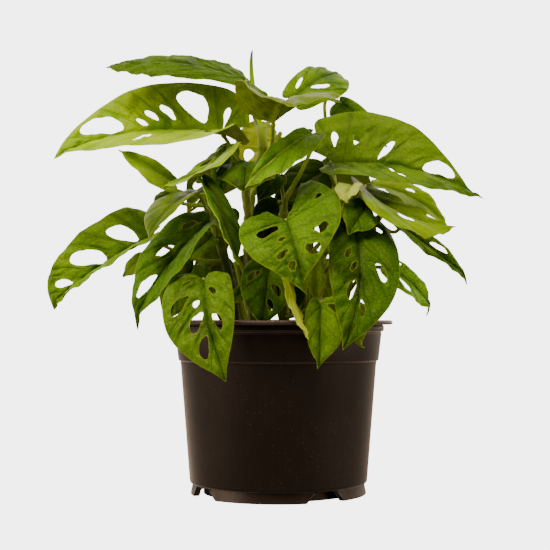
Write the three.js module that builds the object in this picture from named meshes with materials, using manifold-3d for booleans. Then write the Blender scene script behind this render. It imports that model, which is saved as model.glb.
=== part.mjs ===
// Monstera adansonii (Swiss cheese vine), a young full plant in a 13 cm nursery pot.
// Units are millimetres, +Z is up. The pot stands on z = 0 with its axis on x = y = 0,
// and the plant's show side looks towards -Y. The whole group is centred at the end.
//
// Pieces: the pot, the soil, six climbing stems that each carry their leaf stalks,
// one rolled new leaf and one blade for every leaf.
import * as THREE from "three";
import { mergeVertices } from "three/addons/utils/BufferGeometryUtils.js";
import Module from "manifold-3d";

const wasm = await Module();
wasm.setup();

// ---------------------------------------------------------------- driving dimensions

const POT = {
  height: 98, // flange top above the ground
  wall: 1.3,
  footHeight: 6.6,
  footRadius: 48.6,
  baseRadius: 50.4, // body just above the foot ring
  shoulderZ: 75,
  shoulderRadius: 55.7, // body just below the shoulder
  bandRadius: 56.9, // rim band just above the shoulder
  bandTopZ: 91,
  bandTopRadius: 58.7,
  beadRadius: 60,
  flangeRadius: 65,
  flangeThickness: 2.4,
  floorTop: 8.4,
  edge: 0.6, // size of the small bevels and steps
  segments: 40,
};
const NOTCH = {
  anglesDeg: [-58, 31.5, 121.5, 211.5], // from the show side, towards +X
  topWidth: 13,
  bottomWidth: 24,
  depth: 14, // from the outside in, through the foot ring
  outside: 3,
};
const DRAIN = { radius: 3.2, inset: 10, sides: 12 }; // one above each notch
const SOIL = { top: 82, crown: 1.2, gap: 0.3 };
const STEM = { radius: 3, sides: 8, holeGap: 0.35, stepLength: 12, buried: 30 };
const STALK = { radius: 1.25, sides: 6, stepLength: 16 };
const BLADE = { thickness: 0.7, seatGap: 0.32, wideHalf: 23, stalkGap: 0.45 };

const COLOURS = {
  pot: { color: 0x2a211c, roughness: 0.5, metalness: 0 },
  soil: { color: 0x2b1d14, roughness: 0.95, metalness: 0 },
  stem: { color: 0x86911f, roughness: 0.5, metalness: 0 },
  leaf: { color: 0x5f8408, roughness: 0.42, metalness: 0 },
};

// ---------------------------------------------------------------- the plant

// Climbing stems: where each stands in the soil, then points up to its growing end.
const STEMS = {
  stem_centre: [[-13, -6], [-15, -10, 120], [-17, -9, 159], [-18.5, -7, 172], [-13, -4, 183],
    [-8.8, -2, 193], [-9.8, 2, 208.5]],
  stem_left: [[-24, 0], [-27, -4, 118], [-35, -6, 148], [-43, -9, 168]],
  stem_right: [[17, -4], [21, -2, 120], [30, 0, 150], [35, 2, 176]],
  stem_front: [[4, -20], [3, -24, 115], [2, -22, 145], [4, -15, 166]],
  stem_back_left: [[-14, 22], [-17, 24, 120], [-18, 26, 155], [-14, 26, 178]],
  stem_back_right: [[14, 20], [16, 24, 120], [19, 26, 150], [20, 28, 176]],
};

// One entry for each leaf.
//   base, tip   where the stalk meets the blade, and the drip tip
//   face        the way the upper side looks
//   arch, sway  bow of the midrib towards the face and to the left, in mm
//   half        widths of the left and right half, seen from above with the tip ahead
//   fold        degrees that each half rises at the midrib, or a pair for base and tip, which
//               may be followed by how quickly it changes behind the base
//   droop       degrees that each lobe bends down behind the stalk
//   curl        degrees more that it has turned at its margin
//   lobe        how far each half reaches back past the stalk, in mm
//   sinus       how far from the midrib each lobe starts, as a share of its half width
//   wide        where the blade, or each half, is widest, as a share of its length
//   blunt       how much fuller each half is than usual towards the tip, as a share of its width
//   veins       number of even gaps between lateral veins, or the veins' own places, which
//               may be a list for each half
//   holes       [vein gap, inner end, outer end, width] between the lateral veins
const LEAVES = {
  leaf_crown_left: {
    stem: "stem_centre", from: 0.97, base: [-19, 4, 236], tip: [-97, -18, 240], face: [0, -0.5, 0.87],
    arch: 6.5, half: [18, 20], fold: [-2, [6, -8]], curl: [-8, -8], lobe: [12, 12], sinus: [0.3, 0.2],
    droop: [0, 25], wide: [0.6, 0.33], blunt: [0.15, 0], veins: 5, via: [0, 10, 0],
  },
  leaf_upper_left: {
    stem: "stem_centre", from: 0.72, base: [-32, 0, 205], tip: [-128, -14, 190], face: [-0.1, -0.66, 0.74],
    arch: 9, half: [25, 32], fold: [[48, 12, 8], 27], curl: [5, 0], lobe: [17, 19], sinus: [0.15, 0.25],
    droop: [26, 0], wide: [0.3, 0.16], blunt: [-0.05, 0.05],
    veins: [[0, 0.3, 0.44, 0.56, 0.66, 0.76, 0.88, 1], [0, 0.2, 0.35, 0.52, 0.59, 0.65, 0.7, 0.86, 1]],
    holes: { right: [[1, 0.08, 0.6, 0.45], [2, 0.15, 0.8, 0.6], [3, 0.2, 0.55, 0.45],
      [4, 0.22, 0.5, 0.45], [5, 0.12, 0.36, 0.5], [6, 0.1, 0.9, 0.7]],
      left: [[1, 0.35, 0.6, 0.3], [3, 0.45, 0.75, 0.4]] },
  },
  leaf_crown_front: {
    stem: "stem_centre", from: 0.84, base: [-3, -10, 210], tip: [9, -62, 211], face: [-0.1, 0, 1],
    arch: 7, half: [32, 28], fold: [[32, 6], [24, -5]], curl: [-30, 46], lobe: [-18, 3],
    sinus: [0.1, 0.3], wide: [0.52, 0.26], veins: 6, via: [2, 0, 0],
  },
  leaf_crown_right: {
    stem: "stem_centre", from: 0.98, base: [8, 10, 227], tip: [37, 46, 248], face: [0.2, -0.7, 0.75],
    arch: 4, half: [11, 18], fold: [10, 0], lobe: [2, 4], wide: [0.52, 0.5], blunt: [0.05, 0.25],
    veins: 6, via: [-2, 0, 2],
    holes: { left: [[2, 0.2, 0.55, 0.55]], right: [[3, 0.12, 0.55, 0.65]] },
  },
  leaf_crown_back: {
    stem: "stem_back_left", from: 0.95, base: [-1, 27, 205], tip: [-21, 28, 183], face: [0.1, 1, 0.1],
    arch: 2, half: [20, 10], fold: [8, 8], lobe: [4, 4], veins: 5,
    holes: { left: [[3, 0.35, 0.75, 0.7]] },
  },
  leaf_small_left: {
    stem: "stem_left", from: 1, base: [-59, -8, 176], tip: [-88, -30, 192], face: [-0.3, -0.8, 0.5],
    arch: 1, half: [11.5, 5.5], fold: [12, 12], lobe: [3, 3], wide: 0.38, veins: 4,
  },
  leaf_shoulder_left: {
    stem: "stem_centre", from: 0.7, base: [-29, -12, 195], tip: [-64, -42, 170], face: [-0.2, -0.3, 0.95],
    arch: -2, sway: 5, half: [13, 9], fold: [14, 4], lobe: [4, 4], veins: 5,
    holes: { right: [[2, 0.3, 0.7, 0.5]] },
  },
  leaf_tucked_left: {
    stem: "stem_centre", from: 0.62, base: [-27, 9, 197], tip: [-34, 8, 170], face: [-0.1, -1, 0.2],
    arch: 1, half: [6, 9], fold: [14, 14], lobe: [3, 3], veins: 4,
  },
  leaf_round_centre: {
    stem: "stem_centre", from: 0.66, base: [-17, -16, 187], tip: [-19, -46, 167], face: [0, -0.5, 0.85],
    arch: 4, half: [17, 17], fold: [-5, -5], curl: [-15, -15], lobe: [5, 5], wide: 0.38, veins: 5,
  },
  leaf_long_centre: {
    stem: "stem_front", from: 1, base: [18, -22, 202], tip: [-18, -52, 169], face: [-0.1, -0.85, 0.5],
    arch: 4, half: [14, 7], fold: [16, 14], lobe: [4, 4], wide: [0.45, 0.33], veins: 5,
  },
  leaf_upper_right: {
    stem: "stem_right", from: 0.97, base: [31, -10, 187], tip: [112, -34, 165], face: [0.1, -0.66, 0.74],
    arch: 8, half: [34, 24], fold: [27, 14], lobe: [19, 3], sinus: [0.3, 0.15],
    wide: [0.06, 0.36], blunt: [-0.11, 0.05], veins: [0, 0.28, 0.4, 0.5, 0.56, 0.62, 0.72, 0.86, 1],
    holes: { left: [[1, 0.3, 0.62, 0.3], [2, 0.32, 0.66, 0.4], [4, 0.06, 0.55, 0.45],
      [6, 0.1, 0.88, 0.65]], right: [[4, 0.4, 0.75, 0.5]] },
  },
  leaf_behind_right: {
    stem: "stem_right", from: 0.93, base: [38, 34, 228], tip: [66, 40, 202], face: [0.15, -1, 0.25],
    arch: 3, half: [6, 15], fold: [8, 8], lobe: [3, 3], veins: 4,
  },
  leaf_shoulder_right: {
    stem: "stem_right", from: 0.92, base: [56, 10, 176], tip: [96, -10, 151], face: [0.2, -0.6, 0.75],
    arch: 5, half: [11, 17], fold: [12, 14], lobe: [5, 5], veins: 6,
    holes: { right: [[2, 0.3, 0.8, 0.6]], left: [[3, 0.35, 0.55, 0.4]] },
  },
  leaf_folded_right: {
    stem: "stem_right", from: 0.85, base: [49, -16, 172], tip: [94, -42, 148], face: [0.3, -0.6, 0.75],
    arch: 2, sway: -12, half: [9, 20], fold: [18, [34, -8]], lobe: [4, 1], wide: [0.5, 0.66], veins: 5,
    holes: { right: [[3, 0.3, 0.6, 0.4]] },
  },
  leaf_curled_small: {
    stem: "stem_right", from: 0.97, base: [40, -39, 171], tip: [36, -50, 161], face: [-0.2, -0.5, 0.85],
    arch: 2, half: [7, 8], fold: [15, 15], lobe: [3, 3], veins: 4, via: [-8, 0, -3],
  },
  leaf_heart_front: {
    stem: "stem_front", from: 0.72, base: [4, -48, 152], tip: [13, -74, 113], face: [-0.1, -0.85, 0.5],
    arch: 4, sway: 1, half: [31, 27], fold: [6, 6], curl: [-6, -6], lobe: [32, 13], sinus: [0.5, 0.3],
    wide: [-0.1, 0.18], blunt: [-0.12, 0],
    veins: [[0, 0.22, 0.36, 0.52, 0.64, 0.78, 1], [0, 0.2, 0.36, 0.52, 0.64, 0.74, 0.86, 1]],
    holes: { right: [[2, 0.2, 0.68, 0.6], [3, 0.15, 0.35, 0.4], [4, 0.25, 0.65, 0.4],
      [5, 0.2, 0.62, 0.5]], left: [[1, 0.6, 0.8, 0.25], [3, 0.45, 0.8, 0.5], [4, 0.35, 0.85, 0.5]] },
  },
  leaf_large_front: {
    stem: "stem_right", from: 0.6, base: [41, -42, 148], tip: [33, -76, 83], face: [0.1, -0.93, 0.35],
    arch: 5, sway: 5, half: [21, 17], fold: [4, 8], curl: [-6, -6], lobe: [10, 8],
    veins: [[0, 0.2, 0.34, 0.48, 0.6, 0.73, 0.84, 1], [0, 0.2, 0.4, 0.56, 0.63, 0.77, 0.88, 1]],
    holes: { left: [[1, 0.45, 0.75, 0.4], [3, 0.42, 0.74, 0.55], [5, 0.2, 0.62, 0.4]],
      right: [[2, 0.28, 0.5, 0.35], [3, 0.12, 0.38, 0.6], [4, 0.2, 0.62, 0.6]] },
  },
  leaf_dark_right: {
    stem: "stem_right", from: 0.7, base: [48, -38, 160], tip: [37, -53, 144], face: [0.1, -0.9, 0.4],
    arch: 2, half: [11, 11], fold: [8, 8], lobe: [3, 3], veins: 4,
    holes: { left: [[1, 0.3, 0.7, 0.5]] },
  },
  leaf_low_right: {
    stem: "stem_right", from: 0.45, base: [62, -8, 128], tip: [88, 0, 103], face: [0.5, -0.7, 0.5],
    arch: 4, half: [8, 13], fold: [12, 12], lobe: [4, 4], veins: 5,
    holes: { left: [[1, 0.4, 0.8, 0.5]], right: [[2, 0.3, 0.8, 0.6]] },
  },
  leaf_thin_right: {
    stem: "stem_right", from: 0.82, base: [71, 2, 152], tip: [107, -14, 122], face: [0.3, -0.75, 0.6],
    arch: 0, half: [7, 8], fold: [25, 20], lobe: [3, 3], veins: 4, via: [0, 6, 12],
    holes: { left: [[2, 0.3, 0.8, 0.5]] },
  },
  leaf_pale_rim: {
    stem: "stem_front", from: 0.42, base: [4, -58, 120], tip: [15, -76, 88], face: [-0.7, 0.6, 0.1],
    arch: 1, half: [4, 5], fold: [10, 10], lobe: [2, 2], veins: 4, via: [9, 0, 2],
  },
  leaf_rim_front: {
    stem: "stem_front", from: 0.5, base: [22, -63, 107], tip: [21, -70, 74], face: [0, -0.95, 0.3],
    arch: 1, half: [13, 8], fold: [5, 15], lobe: [4, 3], veins: 5,
    holes: { left: [[1, 0.3, 0.8, 0.6]] },
  },
  leaf_rim_tip: {
    stem: "stem_right", from: 0.45, base: [40, -53, 107], tip: [42, -66, 83], face: [0.1, -0.9, 0.4],
    arch: 2, half: [6, 6], fold: [10, 10], lobe: [2, 2], veins: 4,
  },
  leaf_olive_front: {
    stem: "stem_front", from: 0.58, base: [18, -54, 130], tip: [19, -62, 108], face: [0.2, -0.95, 0.2],
    arch: 1, half: [6, 6], fold: [25, 25], lobe: [2, 2], veins: 4,
  },
  leaf_low_centre: {
    stem: "stem_front", from: 0.4, base: [-5, -38, 128], tip: [-9, -46, 94], face: [0, -0.95, 0.25],
    arch: 3, half: [14, 14], fold: [6, 6], lobe: [5, 5], veins: 6,
    holes: { right: [[2, 0.3, 0.8, 0.5]], left: [[3, 0.2, 0.7, 0.55], [4, 0.2, 0.7, 0.5]] },
  },
  leaf_dark_low: {
    stem: "stem_centre", from: 0.32, base: [-15, -30, 116], tip: [-27, -36, 107], face: [0, -0.8, 0.6],
    arch: 1, half: [5, 5], fold: [8, 8], lobe: [2, 2], veins: 4,
  },
  leaf_rim_left: {
    stem: "stem_left", from: 0.4, base: [-40, -50, 120], tip: [-27, -82, 67], face: [-0.1, -0.85, 0.5],
    arch: 5, sway: -2, half: [15, 23], fold: [6, 6], curl: [-5, -5], lobe: [5, 5], sinus: [0.2, 0.2],
    wide: [0.25, 0.36],
    veins: [[0, 0.24, 0.38, 0.5, 0.58, 0.72, 0.86, 1], [0, 0.2, 0.36, 0.5, 0.57, 0.7, 0.83, 1]],
    holes: { right: [[1, 0.2, 0.55, 0.35], [2, 0.36, 0.82, 0.6], [3, 0.14, 0.32, 0.6], [4, 0.12, 0.6, 0.6],
      [5, 0.25, 0.82, 0.6]], left: [[2, 0.15, 0.42, 0.5], [4, 0.22, 0.65, 0.6]] },
  },
  leaf_large_left: {
    stem: "stem_left", from: 0.78, base: [-38, -25, 152], tip: [-79, -46, 97], face: [-0.4, -0.75, 0.5],
    arch: 5, half: [15, 20], fold: [[40, 5], 10], lobe: [3, 5],
    veins: [[0, 0.3, 0.5, 0.7, 0.85, 1], [0, 0.3, 0.44, 0.52, 0.64, 0.71, 0.87, 1]],
    holes: { right: [[1, 0.25, 0.5, 0.65], [3, 0.28, 0.62, 0.65], [5, 0.14, 0.82, 0.62]] },
  },
  leaf_wide_left: {
    stem: "stem_left", from: 0.68, base: [-73, -2, 145], tip: [-127, -18, 106.5], face: [-0.1, -0.6, 0.79],
    arch: 3, half: [16, 26], fold: [34, 26], lobe: [5, 10], wide: [0.33, 0.25], blunt: [0.1, 0.3],
    veins: [[0, 0.3, 0.5, 0.7, 0.85, 1], [0, 0.12, 0.24, 0.36, 0.52, 0.6, 0.77, 0.82, 0.92, 1]],
    holes: { right: [[1, 0.3, 0.65, 0.45], [3, 0.06, 0.68, 0.72], [5, 0.03, 0.76, 0.7],
      [7, 0.1, 0.72, 0.5]] },
  },
  leaf_glossy_left: {
    stem: "stem_left", from: 0.9, base: [-46, -28, 169], tip: [-69, -58, 141], face: [-0.5, -0.6, 0.6],
    arch: 4, half: [8, 17], fold: [8, 4], lobe: [3, 5], veins: 5,
  },
  leaf_tip_left: {
    stem: "stem_left", from: 0.95, base: [-60, -12, 169], tip: [-70, -20, 163], face: [-0.3, -0.8, 0.5],
    arch: 1, half: [5, 5], fold: [5, 5], lobe: [2, 2], veins: 4,
  },
  leaf_olive_left: {
    stem: "stem_left", from: 0.5, base: [-78, 10, 134], tip: [-91, 14, 123], face: [-0.3, -0.8, 0.5],
    arch: 1, half: [6, 6], fold: [5, 5], lobe: [2, 2], veins: 4,
  },
  leaf_folded_left: {
    stem: "stem_left", from: 0.62, base: [-38, -12, 144], tip: [-54, -13, 129], face: [-0.2, -0.8, 0.5],
    arch: 2, half: [8, 8], fold: [15, 15], lobe: [3, 3], veins: 4,
  },
  leaf_inner_low: {
    stem: "stem_centre", from: 0.36, base: [3, 12, 124], tip: [4, 13, 98], face: [0, -0.95, 0.3],
    arch: 1, half: [13, 13], fold: [5, 5], lobe: [3, 3], veins: 4,
  },
  leaf_low_left: {
    stem: "stem_left", from: 0.35, base: [-47, -20, 128], tip: [-62, -28, 97], face: [-0.3, -0.8, 0.4],
    arch: 2, half: [14, 13], fold: [10, 10], lobe: [3, 3], veins: 4,
  },
  leaf_hanging_left: {
    stem: "stem_left", from: 0.97, base: [-42, -34, 175], tip: [-22.5, -53, 129], face: [0.3, -0.85, 0.3],
    arch: 3, half: [9, 4], fold: [5, 40], lobe: [3, 2], wide: [0.6, 0.33], veins: 5, via: [4, 0, 7],
  },
  leaf_inner_round: {
    stem: "stem_front", from: 0.97, base: [0, -10, 180], tip: [-12, -20, 164], face: [0, -0.8, 0.6],
    arch: 1, half: [7, 7], fold: [5, 5], lobe: [2, 2], veins: 4,
  },
  leaf_inner_olive: {
    stem: "stem_front", from: 0.9, base: [0, 2, 165], tip: [-8, -1, 132], face: [0, -0.9, 0.4],
    arch: 1, half: [13, 13], fold: [5, 5], lobe: [3, 3], veins: 4,
  },
  leaf_inner_dark: {
    stem: "stem_back_right", from: 0.8, base: [26, 10, 184], tip: [-4, 8, 164], face: [0, -0.9, 0.4],
    arch: 1, half: [13, 13], fold: [5, 5], lobe: [3, 3], veins: 4,
  },
  leaf_back_1: {
    stem: "stem_back_right", from: 0.9, base: [24, 41, 190], tip: [50, 82, 152], face: [0.2, 0.6, 0.8],
    arch: 7, half: [22, 22], fold: [12, 12], lobe: [7, 7], veins: 5,
    holes: { left: [[2, 0.3, 0.8, 0.6], [4, 0.2, 0.7, 0.5]], right: [[3, 0.3, 0.75, 0.6]] },
  },
  leaf_back_2: {
    stem: "stem_back_left", from: 0.9, base: [-20, 44, 189], tip: [-58, 84, 165], face: [-0.2, 0.6, 0.8],
    arch: 7, half: [19, 20], fold: [12, 12], lobe: [7, 7], veins: 5,
    holes: { left: [[3, 0.3, 0.8, 0.6]], right: [[4, 0.2, 0.7, 0.5]] },
  },
  leaf_back_3: {
    stem: "stem_back_left", from: 0.7, base: [2, 46, 160], tip: [4, 98, 118], face: [0, 0.7, 0.7],
    arch: 7, half: [20, 20], fold: [10, 10], lobe: [7, 7], veins: 5,
    holes: { left: [[2, 0.3, 0.8, 0.6]], right: [[3, 0.3, 0.75, 0.6]] },
  },
  leaf_back_4: {
    stem: "stem_back_left", from: 0.6, base: [-36, 30, 160], tip: [-52, 74, 112], face: [-0.4, 0.8, 0.5],
    arch: 5, half: [18, 18], fold: [10, 10], lobe: [6, 6], veins: 5,
    holes: { left: [[3, 0.3, 0.75, 0.6]] },
  },
  leaf_back_5: {
    stem: "stem_back_right", from: 0.7, base: [38, 26, 164], tip: [44, 62, 122], face: [0.2, 0.7, 0.6],
    arch: 5, half: [18, 18], fold: [10, 10], lobe: [6, 6], veins: 5,
    holes: { left: [[3, 0.3, 0.75, 0.6]] },
  },
  leaf_back_6: {
    stem: "stem_back_left", from: 0.45, base: [-26, 50, 132], tip: [-15, 82, 74], face: [-0.1, 0.9, 0.35],
    arch: 5, half: [19, 19], fold: [6, 6], lobe: [6, 6], veins: 5,
    holes: { left: [[2, 0.3, 0.75, 0.6]], right: [[3, 0.3, 0.8, 0.6]] },
  },
  leaf_back_7: {
    stem: "stem_back_right", from: 0.45, base: [30, 48, 134], tip: [20, 84, 78], face: [0.1, 0.9, 0.35],
    arch: 5, half: [18, 18], fold: [6, 6], lobe: [6, 6], veins: 5,
    holes: { left: [[3, 0.3, 0.75, 0.6]], right: [[2, 0.3, 0.8, 0.6]] },
  },
};
const NEW_LEAF = { base: [-10.4, 2.6, 209.8], tip: [-16.8, 10, 254], radius: 1.9, sides: 8 };

// ---------------------------------------------------------------- solids and meshes

function toSolid(geometry) {
  const bare = geometry.clone();
  for (const name of Object.keys(bare.attributes)) {
    if (name !== "position") bare.deleteAttribute(name);
  }
  const merged = mergeVertices(bare, 1e-4);
  const mesh = new wasm.Mesh({
    numProp: 3,
    vertProperties: new Float32Array(merged.attributes.position.array),
    triVerts: new Uint32Array(merged.index.array),
  });
  mesh.merge();
  return new wasm.Manifold(mesh);
}

function toGeometry(solid) {
  const mesh = solid.getMesh();
  const geometry = new THREE.BufferGeometry();
  geometry.setAttribute("position", new THREE.BufferAttribute(mesh.vertProperties, 3));
  geometry.setIndex(new THREE.BufferAttribute(mesh.triVerts, 1));
  geometry.computeVertexNormals();
  return geometry;
}

function piece(name, geometry, slot) {
  const mesh = new THREE.Mesh(geometry, new THREE.MeshStandardMaterial(COLOURS[slot]));
  mesh.name = name;
  return mesh;
}

// A surface of revolution about +Z from [radius, z] pairs.
function turned(profile, segments) {
  const points = profile.map(([radius, z]) => new THREE.Vector2(radius, z));
  const geometry = new THREE.LatheGeometry(points, segments);
  geometry.rotateX(Math.PI / 2);
  return geometry;
}

// A round rod along a curve.
function rod(curve, radius, sides, stepLength) {
  const section = new THREE.Shape();
  section.absarc(0, 0, radius, 0, 2 * Math.PI, false);
  const steps = Math.max(3, Math.round(curve.getLength() / stepLength));
  return new THREE.ExtrudeGeometry(section, {
    steps,
    curveSegments: sides / 2, // a full arc gets two points for each
    extrudePath: curve,
    bevelEnabled: false,
  });
}

// The main body of a cut solid, without loose scraps.
function largest(solid) {
  return solid.decompose().reduce((a, b) => (a.volume() >= b.volume() ? a : b));
}

const vector = (xyz) => new THREE.Vector3(...xyz);

// ---------------------------------------------------------------- pot and soil

// Foot ring, body, shoulder, rim band, bead and flange, then back down the inside.
function potProfile() {
  const { edge, wall, footHeight, footRadius, baseRadius, shoulderZ, shoulderRadius } = POT;
  const { bandRadius, bandTopZ, bandTopRadius, beadRadius, flangeRadius, floorTop } = POT;
  const under = POT.height - POT.flangeThickness;
  return [
    [0, footHeight],
    [footRadius - 2.8 * wall, footHeight],
    [footRadius - 1.8 * wall, 0],
    [footRadius, 0],
    [baseRadius - edge, footHeight],
    [baseRadius, footHeight + edge],
    [shoulderRadius, shoulderZ],
    [bandRadius, shoulderZ + edge],
    [bandTopRadius, bandTopZ],
    [bandTopRadius - edge, bandTopZ + edge],
    [beadRadius, bandTopZ + 2 * edge],
    [beadRadius, under - edge],
    [beadRadius - edge, under],
    [flangeRadius - edge, under],
    [flangeRadius, under + edge],
    [flangeRadius - edge, POT.height],
    [bandTopRadius - wall + edge, POT.height],
    [bandTopRadius - wall, POT.height - edge],
    [bandRadius - wall, shoulderZ + 2 * edge],
    [shoulderRadius - wall, shoulderZ],
    [baseRadius - wall, floorTop + edge],
    [baseRadius - wall - edge, floorTop],
    [0, floorTop],
  ];
}

// The wedge that leaves a foot on each side of it and opens the drain behind.
function notch(angleDeg) {
  const top = POT.footHeight - POT.edge;
  const outline = new THREE.Shape([
    new THREE.Vector2(-NOTCH.bottomWidth / 2, -1),
    new THREE.Vector2(NOTCH.bottomWidth / 2, -1),
    new THREE.Vector2(NOTCH.topWidth / 2, top),
    new THREE.Vector2(-NOTCH.topWidth / 2, top),
  ]);
  const wedge = new THREE.ExtrudeGeometry(outline, { depth: NOTCH.depth, bevelEnabled: false });
  wedge.rotateX(Math.PI / 2);
  wedge.translate(0, -POT.footRadius + NOTCH.depth - NOTCH.outside, 0);
  wedge.rotateZ(THREE.MathUtils.degToRad(angleDeg));
  return wedge;
}

// An upright cutter of the given radius on the axis.
function drill(radius, bottom, top) {
  return turned([[0, bottom], [radius, bottom], [radius, top], [0, top]], DRAIN.sides);
}

function drain(angleDeg) {
  const hole = drill(DRAIN.radius, 0, POT.floorTop + 1);
  hole.translate(0, -POT.footRadius + DRAIN.inset, 0);
  hole.rotateZ(THREE.MathUtils.degToRad(angleDeg));
  return hole;
}

function potSolid() {
  let pot = toSolid(turned(potProfile(), POT.segments));
  for (const angle of NOTCH.anglesDeg) {
    pot = pot.subtract(toSolid(notch(angle))).subtract(toSolid(drain(angle)));
  }
  return pot;
}

// Fills the pot with a small gap to its wall; every stem stands in a hole of its own.
function soilSolid(stemCurves) {
  const { top, crown, gap } = SOIL;
  const share = (top - POT.shoulderZ) / (POT.bandTopZ - POT.shoulderZ);
  const topRadius = POT.bandRadius + share * (POT.bandTopRadius - POT.bandRadius) - POT.wall - 2 * gap;
  const profile = [
    [0, POT.floorTop + gap],
    [POT.baseRadius - POT.wall - POT.edge - 2 * gap, POT.floorTop + gap],
    [POT.shoulderRadius - POT.wall - 2 * gap, POT.shoulderZ],
    [topRadius, top],
    [topRadius * 0.6, top + crown * 0.6],
    [0, top + crown],
  ];
  let soil = toSolid(turned(profile, POT.segments));
  for (const curve of stemCurves) {
    const foot = curve.getPoint(0);
    const hole = drill(STEM.radius + STEM.holeGap, foot.z - STEM.holeGap, top + 2 * crown);
    hole.translate(foot.x, foot.y, 0);
    soil = soil.subtract(toSolid(hole));
  }
  return soil;
}

// ---------------------------------------------------------------- leaf blades

// Catmull-Rom value of a list of [u, v] pairs at s in 0..1.
function alongList(list, s) {
  const place = Math.min(s, 0.999999) * (list.length - 1);
  const i = Math.floor(place);
  const t = place - i;
  const pick = (k) => list[Math.min(Math.max(k, 0), list.length - 1)];
  return [0, 1].map((axis) => {
    const [a, b, c, d] = [pick(i - 1), pick(i), pick(i + 1), pick(i + 2)].map((p) => p[axis]);
    const square = 2 * a - 5 * b + 4 * c - d;
    const cube = 3 * b - a - 3 * c + d;
    return 0.5 * (2 * b + (c - a) * t + square * t * t + cube * t ** 3);
  });
}

// The margin of one half, flattened: from the sinus round the lobe to the drip tip.
function marginList(length, half, lobe, sinus, wide, blunt) {
  const rest = 1 - wide - 0.05;
  return [
    [-0.9 * lobe, sinus * half],
    [-0.85 * lobe, (0.5 + sinus * 0.4) * half],
    [(wide - 0.24) * length, 0.94 * half],
    [(wide + 0.05) * length, half],
    [(wide + 0.05 + rest * 0.33) * length, (0.86 + 0.2 * blunt) * half],
    [(wide + 0.05 + rest * 0.62) * length, (0.54 + 0.7 * blunt) * half],
    [(wide + 0.05 + rest * 0.86) * length, (0.18 + blunt) * half],
    [length, 0],
  ];
}

const pair = (value) => (Array.isArray(value) ? value : [value, value]);
const evenly = (count) => Array.from({ length: count + 1 }, (_, k) => k / count);

// Lateral vein s meets the midrib here; the first few all start at the stalk.
const veinRoot = (s) => Math.max(0, (s - 0.3) / 0.7) ** 1.4;

// The bent, folded and curled blade as a map from flat (u, v) to space.
function bladeMap(leaf) {
  const base = vector(leaf.base);
  const tip = vector(leaf.tip);
  const axis = tip.clone().sub(base);
  const length = axis.length();
  axis.normalize();
  const face = vector(leaf.face);
  face.addScaledVector(axis, -face.dot(axis)).normalize();
  const left = face.clone().cross(axis);
  const { arch = 0, sway = 0, twist = 0 } = leaf;
  const middle = base.clone().add(tip).multiplyScalar(0.5);
  middle.addScaledVector(face, 2 * arch).addScaledVector(left, 2 * sway);
  const midrib = new THREE.QuadraticBezierCurve3(base, middle, tip);

  return (u, v, side) => {
    const share = Math.max(0, Math.min(1, u / length));
    const centre = midrib.getPoint(share);
    const tangent = midrib.getTangent(share);
    const up = face.clone().addScaledVector(tangent, -face.dot(tangent)).normalize();
    if (u < 0) {
      const droop = THREE.MathUtils.degToRad(leaf.droop?.[side] ?? 0);
      centre.addScaledVector(tangent, u * Math.cos(droop)).addScaledVector(up, u * Math.sin(droop));
    }
    up.applyAxisAngle(tangent, THREE.MathUtils.degToRad(twist * (share - 0.5)));
    const across = up.clone().cross(tangent).multiplyScalar(side === 0 ? 1 : -1);
    const [foldBase, foldTip, quickness = 1] = pair(leaf.fold?.[side] ?? 0);
    const fold = THREE.MathUtils.degToRad(foldTip + (foldBase - foldTip) * (1 - share) ** quickness);
    const curl = THREE.MathUtils.degToRad(leaf.curl?.[side] ?? 0) / leaf.half[side];
    // a line at the fold angle that keeps turning at the rate of the curl
    const bend = Math.abs(curl) < 1e-6
      ? [v * Math.cos(fold), v * Math.sin(fold)]
      : [(Math.sin(fold + curl * v) - Math.sin(fold)) / curl,
        (Math.cos(fold) - Math.cos(fold + curl * v)) / curl];
    return centre.addScaledVector(across, bend[0]).addScaledVector(up, bend[1]);
  };
}

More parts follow.
